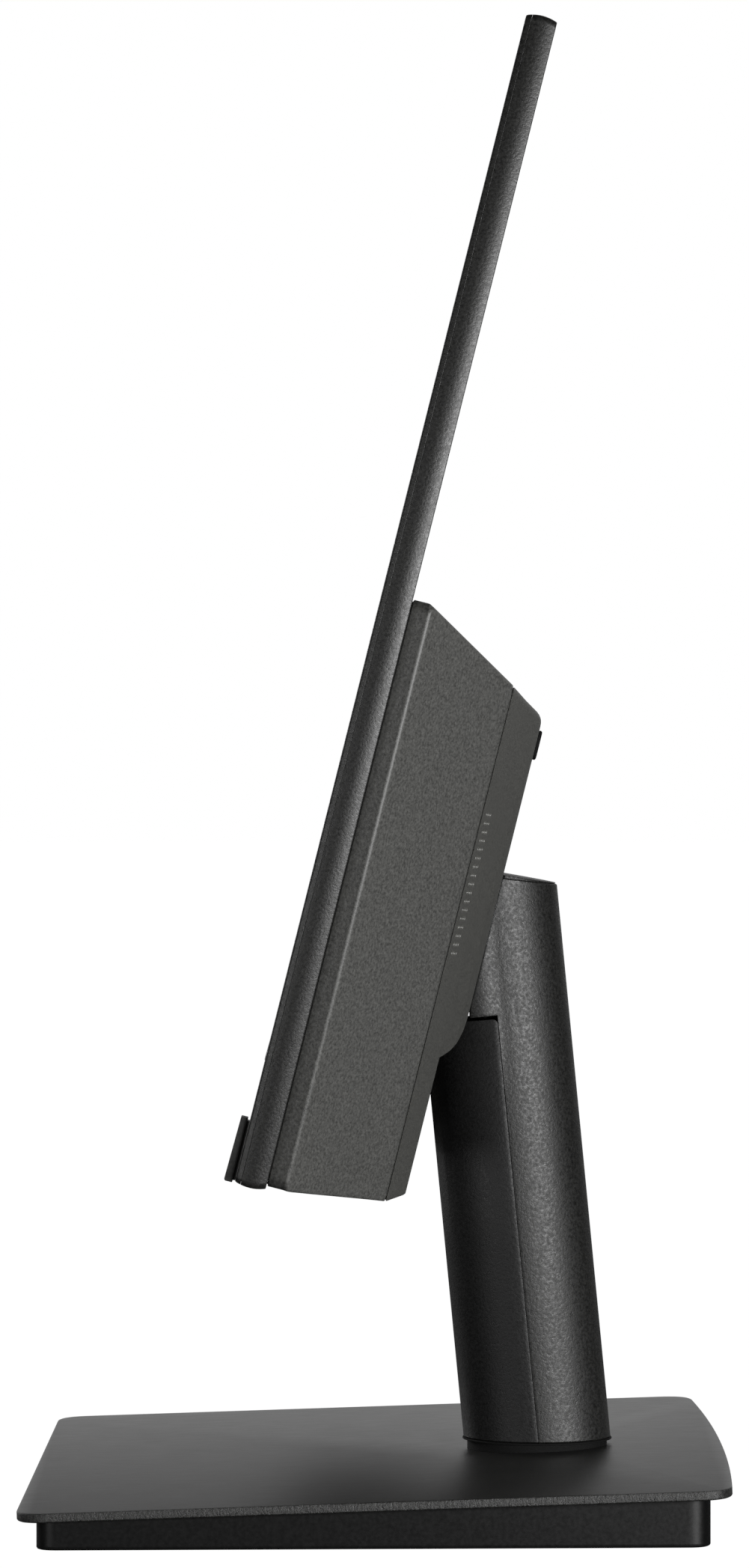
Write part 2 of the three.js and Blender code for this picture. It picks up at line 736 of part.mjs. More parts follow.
function fanHousing() {
  const outer = box([FAN_X - FAN_HALF, FAN_X + FAN_HALF], [10, 22], [FAN_Z - FAN_HALF, 123]);
  const chamber = rodY(34.5, [11.2, 20.8], FAN_X, FAN_Z, 32);
  const inlet = rodY(22, [18, 30], FAN_X, FAN_Z, 32);
  const outlet = box([FAN_X - 30, FAN_X + 30], [11.2, 20.8], [FAN_Z + 20, 130]);
  const pin = rodY(1.8, [10.5, 17], FAN_X, FAN_Z, 12);
  return join(cut(outer, chamber, inlet, outlet), pin);
}

function fanImpeller() {
  const blades = 11;
  const parts = [rodY(10, [12.2, 19.6], 0, 0, 20)];
  for (let i = 0; i < blades; i += 1) {
    const blade = box([8, 31], [12.6, 19.2], [-0.7, 0.7]).rotateY(0.35);
    parts.push(blade.rotateY((i * 2 * Math.PI) / blades));
  }
  return cut(join(...parts), rodY(2.3, [0, 17.6], 0, 0, 12)).translate(FAN_X, 0, FAN_Z);
}

function finStack() {
  const block = box([FAN_X - 30, FAN_X + 30], [10.6, 21], [124, 135]);
  const ways = [];
  for (let i = 0; i < 12; i += 1) {
    const x = FAN_X - 28 + i * 4.8;
    ways.push(box([x, x + 3.2], [11.4, 20.2], [120, 140]));
  }
  return cut(block, ...ways);
}

function heatPipe() {
  const profile = oval(2.8, 1.9, 10);
  const route = new THREE.CatmullRomCurve3([
    new THREE.Vector3(-30, 17.2, 96),
    new THREE.Vector3(0, 17.2, 96),
    new THREE.Vector3(22, 17.2, 104),
    new THREE.Vector3(34, 17.2, 122),
    new THREE.Vector3(44, 17.2, 129.5),
    new THREE.Vector3(55.4, 17.2, 129.5),
  ]);
  return new THREE.ExtrudeGeometry(profile, {
    steps: 20,
    bevelEnabled: false,
    extrudePath: route,
  });
}

function driveTray() {
  const outer = box([133, 207], [6, 17], [36, 138]);
  const inner = box([134.6, 205.4], [7.4, 20], [37.6, 136.4]);
  const window = box([150, 190], [0, 10], [55, 118]);
  return cut(outer, inner, window);
}

function buildComputer() {
  add(screen, 'motherboard', box([-130, 40], [9, 10.6], [30, 132]), 'board');
  add(screen, 'memory_module', box([-120, -52.4], [11.2, 14.6], [96, 126]), 'board');
  add(screen, 'solid_state_drive', box([-110, -30], [11, 13.2], [36, 58]), 'board');
  add(screen, 'wireless_card', box([-112, -82], [11, 13.2], [66, 88]), 'board');
  add(screen, 'processor_cooler_plate', box([-45, -5], [11, 13.9], [76, 116]), 'copper');
  add(screen, 'heat_pipe', heatPipe(), 'copper');
  add(screen, 'fan_housing', fanHousing(), 'darkPlastic');
  add(screen, 'fan_impeller', fanImpeller(), 'glossPlastic');
  add(screen, 'fin_stack', finStack(), 'aluminium');
  add(screen, 'drive_tray', driveTray(), 'sheetSteel');
  add(screen, 'storage_drive', box([135, 205], [8, 15], [38, 136]), 'aluminium');
  for (const [name, low] of [['left', -190], ['right', 130]]) {
    add(screen, `speaker_${name}`, box([low, low + 60], [3, 17], [6, 30]), 'darkPlastic');
  }
}

// ---------------------------------------------------------------- ports

const BAY_MIDDLE = (BAY_LOW + BAY_HIGH) / 2;

// Centre, width and height of each socket, and the sizes of its mouths.
const DC_X = -114;
const HDMI_X = -99.5;
const USB_A_X = -83;
const USB_B_X = -66.5;
const LAN_X = -49;

function socket(x, width, height, mouths) {
  const half = width / 2;
  const low = BAY_MIDDLE - height / 2;
  const body = box([x - half, x + half], [PORT_BOARD_DEPTH + 1.9, PORT_MOUTH], [low, low + height]);
  return cut(body, ...mouths);
}

function mouth(x, width, low, height, depth) {
  return box([x - width / 2, x + width / 2], [PORT_MOUTH - depth, PORT_MOUTH + 5], [low, low + height]);
}

function usbPair(x) {
  const mouths = [BAY_MIDDLE - 6.8, BAY_MIDDLE + 1].map((low) => mouth(x, 13, low, 5.8, 12));
  return socket(x, 14.6, 15.6, mouths);
}

function portPlate() {
  const sheet = box([BAY_LEFT - 3, BAY_RIGHT + 3], [32.4, 33.2], [BAY_LOW - 3, BAY_HIGH + 3]);
  const windows = [
    [DC_X, 10, 10],
    [HDMI_X, 15.6, 6.6],
    [USB_A_X, 14.6, 15.6],
    [USB_B_X, 14.6, 15.6],
    [LAN_X, 16, 13.6],
  ].map(([x, width, height]) =>
    box(
      [x - width / 2 - GAP, x + width / 2 + GAP],
      [30, 40],
      [BAY_MIDDLE - height / 2 - GAP, BAY_MIDDLE + height / 2 + GAP],
    ),
  );
  return cut(sheet, ...windows);
}

function buildPorts() {
  const board = box([BAY_LEFT - 2, BAY_RIGHT + 2], [PORT_BOARD_DEPTH, 19], [4.6, 28]);
  add(screen, 'port_board', board, 'board');
  add(screen, 'port_plate', portPlate(), 'sheetSteel');
  const barrel = rodY(3.7, [PORT_MOUTH - 10, PORT_MOUTH + 5], DC_X, BAY_MIDDLE, 20);
  add(screen, 'power_inlet', socket(DC_X, 10, 10, [barrel]), 'darkPlastic');
  const slot = mouth(HDMI_X, 14, BAY_MIDDLE - 2.3, 4.6, 9);
  add(screen, 'display_socket', socket(HDMI_X, 15.6, 6.6, [slot]), 'sheetSteel');
  add(screen, 'usb_sockets_inner', usbPair(USB_A_X), 'sheetSteel');
  add(screen, 'usb_sockets_outer', usbPair(USB_B_X), 'sheetSteel');
  const jack = mouth(LAN_X, 12, BAY_MIDDLE - 4.4, 8.6, 12);
  add(screen, 'network_socket', socket(LAN_X, 16, 13.6, [jack]), 'sheetSteel');
}

buildBase();
buildColumn();
buildScreen();
buildHousing();
buildBracket();
buildComputer();
buildPorts();

export default machine;
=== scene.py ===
"""The looks of an all in one desktop computer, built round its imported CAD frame.

Shapes are drawn in millimetres in one of four frames (screen, column, deck, machine) and moved to
the row frame in metres: front -Y, rear +Y, width X, up +Z.
"""

import math

import bmesh
import bpy
from mathutils import Matrix, Vector


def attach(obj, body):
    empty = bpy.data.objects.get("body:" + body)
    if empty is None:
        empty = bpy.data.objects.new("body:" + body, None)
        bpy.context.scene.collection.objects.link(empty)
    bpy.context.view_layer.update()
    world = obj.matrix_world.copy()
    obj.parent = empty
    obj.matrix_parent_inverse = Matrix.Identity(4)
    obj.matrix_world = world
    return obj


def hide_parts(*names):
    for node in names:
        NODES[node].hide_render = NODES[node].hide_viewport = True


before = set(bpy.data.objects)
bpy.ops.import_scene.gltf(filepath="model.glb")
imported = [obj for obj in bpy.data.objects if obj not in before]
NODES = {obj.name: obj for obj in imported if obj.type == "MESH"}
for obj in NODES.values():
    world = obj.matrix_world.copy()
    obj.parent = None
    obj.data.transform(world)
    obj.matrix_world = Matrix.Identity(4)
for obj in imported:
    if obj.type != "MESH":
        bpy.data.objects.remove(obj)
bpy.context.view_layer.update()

# ------------------------------------------------------------------ frames

MM = 0.001
SCREEN_TILT = -14.04
HINGE_DEPTH, HINGE_RISE = 53.3, 70.6  # tilt axis: behind the screen's back, above its lower edge
HINGE_PLACE = (0, 39.85, 170.65)
COLUMN_LEAN = 5.55
COLUMN_Y, COLUMN_FOOT = 47.5, 19.4
PLATE_TOP = 14.87  # height of the base plate's top face in the machine's middle
PLATE_RISE = 0.0337  # how much that face climbs for each millimetre towards the rear


def place(origin, lean, pivot=(0, 0, 0)):
    """A frame in millimetres, leaning about X, whose pivot point lies on the origin given."""
    return (
        Matrix.Scale(MM, 4)
        @ Matrix.Translation(origin)
        @ Matrix.Rotation(math.radians(lean), 4, "X")
        @ Matrix.Translation([-c for c in pivot])
    )


SCREEN = place(HINGE_PLACE, SCREEN_TILT, (0, HINGE_DEPTH, HINGE_RISE))
COLUMN = place((0, COLUMN_Y, COLUMN_FOOT), COLUMN_LEAN)
DECK = place((0, 0, PLATE_TOP), math.degrees(math.atan(PLATE_RISE)))
MACHINE = Matrix.Scale(MM, 4)

# ------------------------------------------------------------------ materials


def srgb(value):
    """Linear light of an 8 bit display value."""
    c = value / 255
    return c / 12.92 if c <= 0.04045 else ((c + 0.055) / 1.055) ** 2.4


def colour(r, g, b):
    return (srgb(r), srgb(g), srgb(b), 1)


class Finish:
    """Builds one procedural material, node by node, in object coordinates."""

    def __init__(self, name, base, roughness, metallic=0.0, specular=0.5, coat=0.0):
        self.material = bpy.data.materials.new(name)
        self.material.use_nodes = True
        self.tree = self.material.node_tree
        self.shader = self.tree.nodes["Principled BSDF"]
        self.set(self.shader, "Metallic", metallic)
        self.set(self.shader, "Specular IOR Level", specular)
        self.set(self.shader, "Coat Weight", coat)
        self.set(self.shader, "Roughness", roughness)
        self.set(self.shader, "Base Color", base)
        self.base = base
        self.roughness = roughness
        self.coordinates = self.node("ShaderNodeTexCoord").outputs["Object"]
        self.height = None

    def node(self, kind, **fields):
        made = self.tree.nodes.new(kind)
        for key, value in fields.items():
            setattr(made, key, value)
        return made

    def set(self, node, socket, value):
        node.inputs[socket].default_value = value

    def link(self, output, node, socket):
        self.tree.links.new(output, node.inputs[socket])

    def stretched(self, stretch):
        mapping = self.node("ShaderNodeMapping")
        self.set(mapping, "Scale", stretch)
        self.link(self.coordinates, mapping, "Vector")
        return mapping.outputs["Vector"]

    def noise(self, scale, detail=2.0, stretch=(1, 1, 1), rough=0.5):
        """A noise from 0 to 1; scale is in features per metre."""
        made = self.node("ShaderNodeTexNoise")
        self.set(made, "Scale", scale)
        self.set(made, "Detail", detail)
        self.set(made, "Roughness", rough)
        self.link(self.stretched(stretch), made, "Vector")
        return made.outputs["Fac"]

    def ranged(self, value, low, high, start=0.3, stop=0.7):
        made = self.node("ShaderNodeMapRange")
        self.set(made, "From Min", start)
        self.set(made, "From Max", stop)
        self.set(made, "To Min", low)
        self.set(made, "To Max", high)
        self.link(value, made, "Value")
        return made.outputs["Result"]

    def tint(self, value, dark, light, start=0.3, stop=0.7):
        """Base colour between dark and light times the finish's own colour."""
        mixed = self.node("ShaderNodeMix", data_type="RGBA")
        self.link(self.ranged(value, 0, 1, start, stop), mixed, 0)
        mixed.inputs[6].default_value = [c * dark for c in self.base[:3]] + [1]
        mixed.inputs[7].default_value = [c * light for c in self.base[:3]] + [1]
        self.link(mixed.outputs[2], self.shader, "Base Color")
        return self

    def gloss(self, value, spread):
        """Roughness spread round the finish's own."""
        low, high = self.roughness - spread, self.roughness + spread
        self.link(self.ranged(value, low, high), self.shader, "Roughness")
        return self

    def relief(self, value, depth, strength=1.0):
        """Adds a bump of that depth, in millimetres, over those before it."""
        bump = self.node("ShaderNodeBump")
        self.set(bump, "Distance", depth * MM)
        self.set(bump, "Strength", strength)
        self.link(value, bump, "Height")
        if self.height is not None:
            self.link(self.height, bump, "Normal")
        self.height = bump.outputs["Normal"]
        self.link(self.height, self.shader, "Normal")
        return self


def moulded(name, base, roughness, grain=1500, depth=0.05, specular=0.5, spread=0.05):
    """Spark-eroded plastic: a fine pebble grain over slow waves. Grain is in pebbles per metre."""
    made = Finish(name, base, roughness, specular=specular)
    fine = made.noise(grain, 3.0, rough=0.65)
    slow = made.noise(14, 3.0)
    made.tint(fine, 0.5, 1.5)
    made.gloss(fine, spread)
    made.relief(slow, 0.25, 0.6)
    made.relief(fine, depth)
    return made.material


def brushed(name, base, roughness, stretch):
    """Drawn or rolled metal: long fine lines along the axis with the small stretch."""
    made = Finish(name, base, roughness, metallic=1.0)
    lines = made.noise(1.0, 3.0, stretch=stretch)
    cloud = made.noise(30, 2.0)
    made.tint(lines, 0.85, 1.12)
    made.gloss(lines, 0.08)
    made.relief(lines, 0.01)
    made.relief(cloud, 0.05)
    return made.material


def smooth(name, base, roughness, specular=0.5, coat=0.0, metallic=0.0):
    """Polished or satin surface with faint waviness and handling marks."""
    made = Finish(name, base, roughness, metallic=metallic, specular=specular, coat=coat)
    cloud = made.noise(25, 3.0)
    fine = made.noise(900, 2.0)
    made.tint(cloud, 0.85, 1.15)
    made.gloss(fine, min(0.04, roughness * 0.4))
    made.relief(cloud, 0.03)
    made.relief(fine, 0.003)
    return made.material


def circuit(name, base):
    """Solder-masked board: copper traces and pads under a glossy lacquer."""
    made = Finish(name, base, 0.4, coat=0.3)
    weave = made.noise(1.0, 1.0, stretch=(1400, 1400, 90))
    cells = made.node("ShaderNodeTexVoronoi", distance="CHEBYCHEV")
    made.set(cells, "Scale", 260)
    made.link(made.coordinates, cells, "Vector")
    made.tint(cells.outputs["Distance"], 0.6, 1.9, 0.1, 0.5)
    made.gloss(weave, 0.08)
    made.relief(cells.outputs["Distance"], 0.06)
    return made.material


BLACK = moulded("moulded_black", colour(30, 30, 29), 0.4, grain=1400, depth=0.08, spread=0.08)
HOUSING = moulded("moulded_housing", colour(79, 79, 77), 0.45, grain=1300, depth=0.06)
# A darker copy of the housing's plastic for its front rim: painted shade, not a different plastic.
HOUSING_PAINTED_SHADE = moulded("moulded_housing_painted_shade", colour(60, 60, 58), 0.46, grain=1300, depth=0.08)
COVER = moulded("moulded_cover", colour(74, 74, 71), 0.5, grain=1800, depth=0.03)
# A lighter, glossier copy of the cover's plastic for the edges of the fine holes: a painted highlight where
# those edges catch the light.
PAINTED_HIGHLIGHT_EDGE = moulded("perforation_painted_highlight", colour(98, 98, 94), 0.38, depth=0.01)
STAND = moulded("moulded_stand", colour(32, 32, 31), 0.46, grain=1100, depth=0.12, spread=0.14)
DARK = moulded("moulded_dark", colour(14, 14, 14), 0.48, 1200, depth=0.1, specular=0.45, spread=0.1)
TRAY = smooth("tray_plastic", colour(11, 11, 11), 0.36, specular=0.4)
INNER = moulded("inner_plastic", colour(24, 24, 25), 0.55, grain=1800, depth=0.03)
GLOSS = smooth("gloss_plastic", colour(12, 12, 13), 0.16, coat=0.3)
RUBBER = moulded("rubber", colour(8, 8, 8), 0.8, grain=1200, depth=0.05, specular=0.25)
PAD_PLASTIC = moulded("pad_plastic", colour(36, 36, 35), 0.5, grain=1400, depth=0.05)
STEEL = brushed("rolled_steel", colour(190, 192, 194), 0.34, (700, 60, 700))
DARK_STEEL = brushed("phosphated_steel", colour(84, 85, 87), 0.42, (500, 90, 500))
ALUMINIUM = brushed("aluminium", colour(206, 208, 210), 0.36, (60, 700, 700))
COPPER = brushed("copper", colour(200, 126, 84), 0.28, (60, 600, 600))
GOLD = smooth("gold_contacts", colour(222, 180, 92), 0.25, metallic=1.0)
BOARD = circuit("circuit_board", colour(18, 62, 38))
WHITE = smooth("diffuser_white", colour(222, 224, 223), 0.6)


def painted_plate():
    """Black powder coat over a brushed plate: hairlines along the depth of the base."""
    made = Finish("painted_plate", colour(40, 40, 39), 0.4)
    lines = made.noise(1.0, 4.0, stretch=(2600, 45, 2600), rough=0.7)
    fine = made.noise(1500, 2.0)
    made.tint(lines, 0.6, 1.4)
    made.gloss(lines, 0.06)
    made.relief(lines, 0.012)
    made.relief(fine, 0.02)
    return made.material


def sheared_edge():
    """The plate's cut edge, where the paint lies over a torn, sparkling grain."""
    made = Finish("sheared_edge", colour(34, 34, 33), 0.42)
    grain = made.noise(1.0, 4.0, stretch=(900, 900, 500), rough=0.75)
    made.tint(grain, 0.3, 2.2)
    made.gloss(grain, 0.12)
    made.relief(grain, 0.35)
    return made.material


def dark_panel():
    """Switched-off picture panel: black, slightly blue, under an anti-glare surface."""
    made = Finish("dark_panel", colour(9, 10, 12), 0.22, specular=0.45)
    mask = made.noise(2600, 1.0)
    cloud = made.noise(6, 2.0)
    made.tint(cloud, 0.7, 1.3)
    made.gloss(mask, 0.05)
    made.relief(mask, 0.004)
    return made.material


PLATE = painted_plate()
PLATE_EDGE = sheared_edge()
PANEL = dark_panel()

# ------------------------------------------------------------------ mesh building


def loft(rings, closed=False):
    """A closed surface through rings of equally many points, with flat ends unless it is closed."""
    bm = bmesh.new()
    rows = [[bm.verts.new(p) for p in ring] for ring in rings]
    pairs = list(zip(rows, rows[1:])) + ([(rows[-1], rows[0])] if closed else [])
    for a, b in pairs:
        for i in range(len(a)):
            j = (i + 1) % len(a)
            bm.faces.new((a[i], a[j], b[j], b[i]))
    if not closed:
        bm.faces.new(rows[0])
        bm.faces.new(list(reversed(rows[-1])))
    bmesh.ops.recalc_face_normals(bm, faces=bm.faces)
    return bm


def block(xs, ys, zs):
    (x0, x1), (y0, y1), (z0, z1) = xs, ys, zs
    corners = [(x0, y0), (x1, y0), (x1, y1), (x0, y1)]
    return loft([[(x, y, z) for x, y in corners] for z in (z0, z1)])


def prism(points, xs):
    """A section drawn in (y, z), swept along X."""
    return loft([[(x, y, z) for y, z in points] for x in xs])


def circle(radius, sides):
    turns = [2 * math.pi * i / sides for i in range(sides)]
    return [(radius * math.cos(t), radius * math.sin(t)) for t in turns]


def rod(axis, radius, span, u, v, sides=32):
    """A round bar along one axis, centred at (u, v) on the other two, taken in the order x, y, z."""
    rings = []
    for along in span:
        ring = [[u + p, v + q] for p, q in circle(radius, sides)]
        for point in ring:
            point.insert("xyz".index(axis), along)
        rings.append(ring)
    return loft(rings)


def turned(profile, x, z, sides):
    """A turned solid whose axis runs along Y through (x, z), from pairs of y and radius."""
    return loft([[(x + u, y, z + v) for u, v in circle(radius, sides)] for y, radius in profile])


def stadium(half_width, half_length):
    """Outline of a slot with round ends, longer along its second coordinate."""
    steps = 6
    points = []
    for end in (1, -1):
        for i in range(steps + 1):
            turn = math.pi * i / steps + (0 if end > 0 else math.pi)
            rise = end * (half_length - half_width)
            points.append((half_width * math.cos(turn), rise + half_width * math.sin(turn)))
    return points


def joined(parts):
    """One bmesh of several."""
    whole = bmesh.new()
    for part in parts:
        mesh = bpy.data.meshes.new("part")
        part.to_mesh(mesh)
        whole.from_mesh(mesh)
        part.free()
        bpy.data.meshes.remove(mesh)
    return whole


def temporary(bm):
    mesh = bpy.data.meshes.new("temporary")
    bm.to_mesh(mesh)
    bm.free()
    made = bpy.data.objects.new("temporary", mesh)
    bpy.context.scene.collection.objects.link(made)
    return made


def boolean(bm, tool, operation="DIFFERENCE"):
    """bm less, or with, the closed tool."""
    target, cutter = temporary(bm), temporary(tool)
    modifier = target.modifiers.new("boolean", "BOOLEAN")
    modifier.operation = operation
    modifier.solver = "EXACT"
    modifier.object = cutter
    bpy.context.view_layer.update()
    deps = bpy.context.evaluated_depsgraph_get()
    result = bmesh.new()
    result.from_object(target, deps)
    for made in (target, cutter):
        mesh = made.data
        bpy.data.objects.remove(made)
        bpy.data.meshes.remove(mesh)
    bmesh.ops.remove_doubles(result, verts=result.verts, dist=1e-4)
    bmesh.ops.dissolve_degenerate(result, edges=result.edges, dist=1e-4)
    return result


def cut(bm, *tools):
    for tool in tools:
        bm = boolean(bm, tool)
    return bm


def soften(bm, width, segments=2, angle=30, where=None):
    """Rounds the edges whose faces meet at more than an angle, and whose middle passes the test."""
    chosen = []
    for edge in bm.edges:
        if not edge.is_manifold or edge.calc_face_angle(0) < math.radians(angle):
            continue
        if where is None or where((edge.verts[0].co + edge.verts[1].co) / 2):
            chosen.append(edge)
    bmesh.ops.bevel(
        bm,
        geom=chosen,
        offset=width,
        offset_type="OFFSET",
        segments=segments,
        profile=0.5,
        affect="EDGES",
        clamp_overlap=True,
    )
    return bm


SMOOTH_ANGLE = math.radians(35)


def piece(name, bm, matrix, body, finish, replaced=(), choose=None):
    """A shown object from a bmesh. choose(face) gives the index of the face's finish."""
    finishes = finish if isinstance(finish, list) else [finish]
    if choose:
        for face in bm.faces:
            face.material_index = choose(face)
    bm.transform(matrix)
    bmesh.ops.recalc_face_normals(bm, faces=bm.faces)
    mesh = bpy.data.meshes.new(name)
    bm.to_mesh(mesh)
    bm.free()
    for each in finishes:
        mesh.materials.append(each)
    mesh.shade_smooth()
    mesh.set_sharp_from_angle(angle=SMOOTH_ANGLE)
    made = bpy.data.objects.new(name, mesh)
    bpy.context.scene.collection.objects.link(made)
    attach(made, body)
    if replaced:
        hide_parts(*replaced)
    return made


def keep(node, finish, edge=0.0):
    """A CAD node that stays, with a better material and its edges broken by a bevel in mm."""
    made = NODES[node]
    made.data.materials.clear()
    made.data.materials.append(finish)
    made.data.shade_smooth()
    made.data.set_sharp_from_angle(angle=SMOOTH_ANGLE)
    if edge:
        weld = made.modifiers.new("weld", "WELD")
        weld.merge_threshold = 1e-6
        bevel = made.modifiers.new("bevel", "BEVEL")
        bevel.width = edge * MM
        bevel.segments = 2
        bevel.limit_method = "ANGLE"
        bevel.angle_limit = math.radians(40)


# ------------------------------------------------------------------ screen

SCREEN_HALF = 244.3
SCREEN_HEIGHT = 306
SCREEN_FRONT = -8.12
SCREEN_CORNER = 1.8
BEZEL_BACK = -6.55
PICTURE = (238.3, 30.2, 298.8)  # half width, lower and upper edge
SHUTTER_Z = 302
SIDE_BULGE = 0.7


def frame_ring(half, low, high, corner, y):
    """A rounded rectangle across the screen's depth."""
    steps = 6
    ring = []
    centres = [
        (half - corner, low + corner, -90),
        (half - corner, high - corner, 0),
        (-half + corner, high - corner, 90),
        (-half + corner, low + corner, 180),
    ]
    for x, z, start in centres:
        for i in range(steps + 1):
            turn = math.radians(start + 90 * i / steps)
            ring.append((x + corner * math.cos(turn), y, z + corner * math.sin(turn)))
    return ring


def side_ring(y, inset):
    """The screen's own outline: its side wall swells towards mid thickness."""
    middle = SCREEN_FRONT / 2
    grow = SIDE_BULGE * (1 - ((y - middle) / middle) ** 2) - inset
    corner = max(SCREEN_CORNER - inset, 0.6)
    return frame_ring(SCREEN_HALF + grow, -grow, SCREEN_HEIGHT + grow, corner, y)


def speaker_holes():
    """Three rows of blind holes on each side below the picture."""
    holes = []
    for side in (-1, 1):
        for column in range(34):
            for row in range(3):
                x, z = side * (108 + column * 2.6), 6.6 + row * 2.6
                holes.append(rod("y", 0.55, (-10, -7.3), x, z, 10))
    return joined(holes)


def build_bezel():
    half, low, high = PICTURE
    chamfer = 0.3
    rings = [frame_ring(half + chamfer, low - chamfer, high + chamfer, 0.9, SCREEN_FRONT)]
    for y, inset in (
        (SCREEN_FRONT, 0.5),
        (-8.06, 0.2),
        (-7.9, 0.05),
        (-7.6, 0),
        (-7.1, 0),
        (-6.62, 0),
        (BEZEL_BACK, 0.06),
    ):
        rings.append(side_ring(y, inset))
    for y, inset in ((BEZEL_BACK, 0), (-5.6, 0), (-5.6, 0.9), (BEZEL_BACK, 0.9)):  # lip inside the back
        rings.append(frame_ring(242.1 - inset, 1.9 + inset, 303.8 - inset, 1.2, y))
    rings.append(frame_ring(half, low, high, 0.6, BEZEL_BACK))
    rings.append(frame_ring(half, low, high, 0.6, SCREEN_FRONT + chamfer))
    bezel = loft(rings, closed=True)
    bezel = cut(bezel, block((-13, 13), (BEZEL_BACK + 0.05, -5), (300, 304.4)))
    track = block((-12, 4), (-20, SCREEN_FRONT + 0.9), (SHUTTER_Z - 2.1, SHUTTER_Z + 2.1))
    bezel = cut(bezel, track, rod("y", 1.3, (-20, 20), 0, SHUTTER_Z), speaker_holes())
    piece("display_bezel", bezel, SCREEN, "screen", BLACK, ["front_bezel"])


def build_display_back():
    rings = [frame_ring(242.4, 1.6, 304.1, 1.4, y) for y in (-1.5, -6.5)]
    wall = [(-6.5, 0.06), (-6.43, 0)]
    wall += [(y, 0) for y in (-5.6, -4.9, -4.06, -3.2, -2.3, -1.4, -0.6, -0.2)]
    wall += [(-0.06, 0.05), (0, 0.2)]
    rings += [side_ring(y, inset) for y, inset in wall]
    cable_window = block((-60, 60), (-10, 5), (70, 130))
    back = cut(loft(rings), cable_window)
    piece("display_back", back, SCREEN, "screen", BLACK, ["screen_rear_cover"])


def build_display():
    build_bezel()
    build_display_back()
    keep("screen_panel", PANEL)
    keep("backlight_unit", WHITE)
    keep("panel_back_frame", STEEL)


def build_front_bumpers():
    """Two pads low on the front, each on a narrower stem."""
    section = [(-8.7, -0.5), (-8.7, 16.3), (-10.5, 16.3), (-10.9, -0.1), (-10.6, -0.5)]
    stem = [(-8.14, 0.1), (-8.14, 15.6), (-9.2, 15.6), (-9.2, 0.1)]
    for side, name in ((-1, "left"), (1, "right")):
        pad = soften(prism(section, (side * 236, side * 242)), 0.22, 3)
        foot = prism(stem, (side * 236.4, side * 241.4))
        pad = boolean(pad, foot, "UNION")
        node = f"front_bumper_{name}"
        piece(f"pad_{name}", pad, SCREEN, "screen", PAD_PLASTIC, [node])


def build_webcam():
    shutter = block((-11.5, -4.5), (-8.02, -7.52), (SHUTTER_Z - 1.8, SHUTTER_Z + 1.8))
    shutter = soften(shutter, 0.12, 2)
    grooves = []
    for x in (-9.2, -8.5, -7.8, -7.1):
        grooves.append(block((x, x + 0.25), (-9, -7.85), (SHUTTER_Z - 1.1, SHUTTER_Z + 1.1)))
    shutter = cut(shutter, joined(grooves))
    piece("camera_shutter", shutter, SCREEN, "shutter", GLOSS, ["webcam_shutter"])
    keep("webcam_module", GLOSS, 0.2)
    dome = [(-6.2, 0.95), (-6.45, 0.95), (-6.75, 0.7), (-6.9, 0.35), (-6.93, 0.04)]
    lens = turned(dome, 0, SHUTTER_Z, 24)
    piece("camera_lens", lens, SCREEN, "screen", GLOSS)


# ------------------------------------------------------------------ computer housing


def bent(along, flat, knee, angle, radius):
    """Height of a wall that is level up to a knee, turns by an angle with a radius, and falls."""
    turn = math.radians(angle)
    tangent = radius * math.tan(turn / 2)
    if along <= knee - tangent:
        return flat
    if along >= knee + tangent * math.cos(turn):
        return flat - (along - knee) * math.tan(turn)
    over = along - knee + tangent
    return flat - radius + math.sqrt(max(radius**2 - over**2, 0))


def eased(value, low, high):
    t = min(max((value - low) / (high - low), 0), 1)
    return t * t * (3 - 2 * t)


SEAM = 31.2  # depths behind the screen: the housing's rear edge, the cover's pad and its lower part
PAD = 42.2
LOWER = 36.7
STEP_CURVE = [
    (PAD, 50.4),
    (42.0, 48.5),
    (41.8, 46.6),
    (41.3, 44.7),
    (40.6, 42.8),
    (39.3, 41),
    (37.7, 39.7),
    (LOWER, 39.1),
]  # depth and height where the pad rolls down to the lower part


def slot_outlines(first, pitch, count, middle, half_length):
    """Vent slots in two mirrored groups, as pairs across and along the wall they go through."""
    outlines = []
    for side in (-1, 1):
        for i in range(count):
            x = side * (first + i * pitch)
            outlines.append([(x + u, middle + v) for u, v in stadium(1.2, half_length)])
    return outlines


def housing_ring(y, inset):
    half = bent(y, flat=236, knee=5.29, angle=55.7, radius=1.5) - inset
    high = bent(y, flat=154.9, knee=4.44, angle=28.8, radius=1.2) - inset
    low = -0.1 + 0.4 * eased(y, 4.5, SEAM) + inset
    corner = 3.4 - 2.3 * eased(y, 3.8, 6.6)
    return frame_ring(half, low, high, corner, y)


# Faces ahead of this depth take the darker copy of the housing's plastic: painted shade on the rim.
PAINTED_SHADE_DEPTH = 4.5  # the housing's rim, ahead of its folds


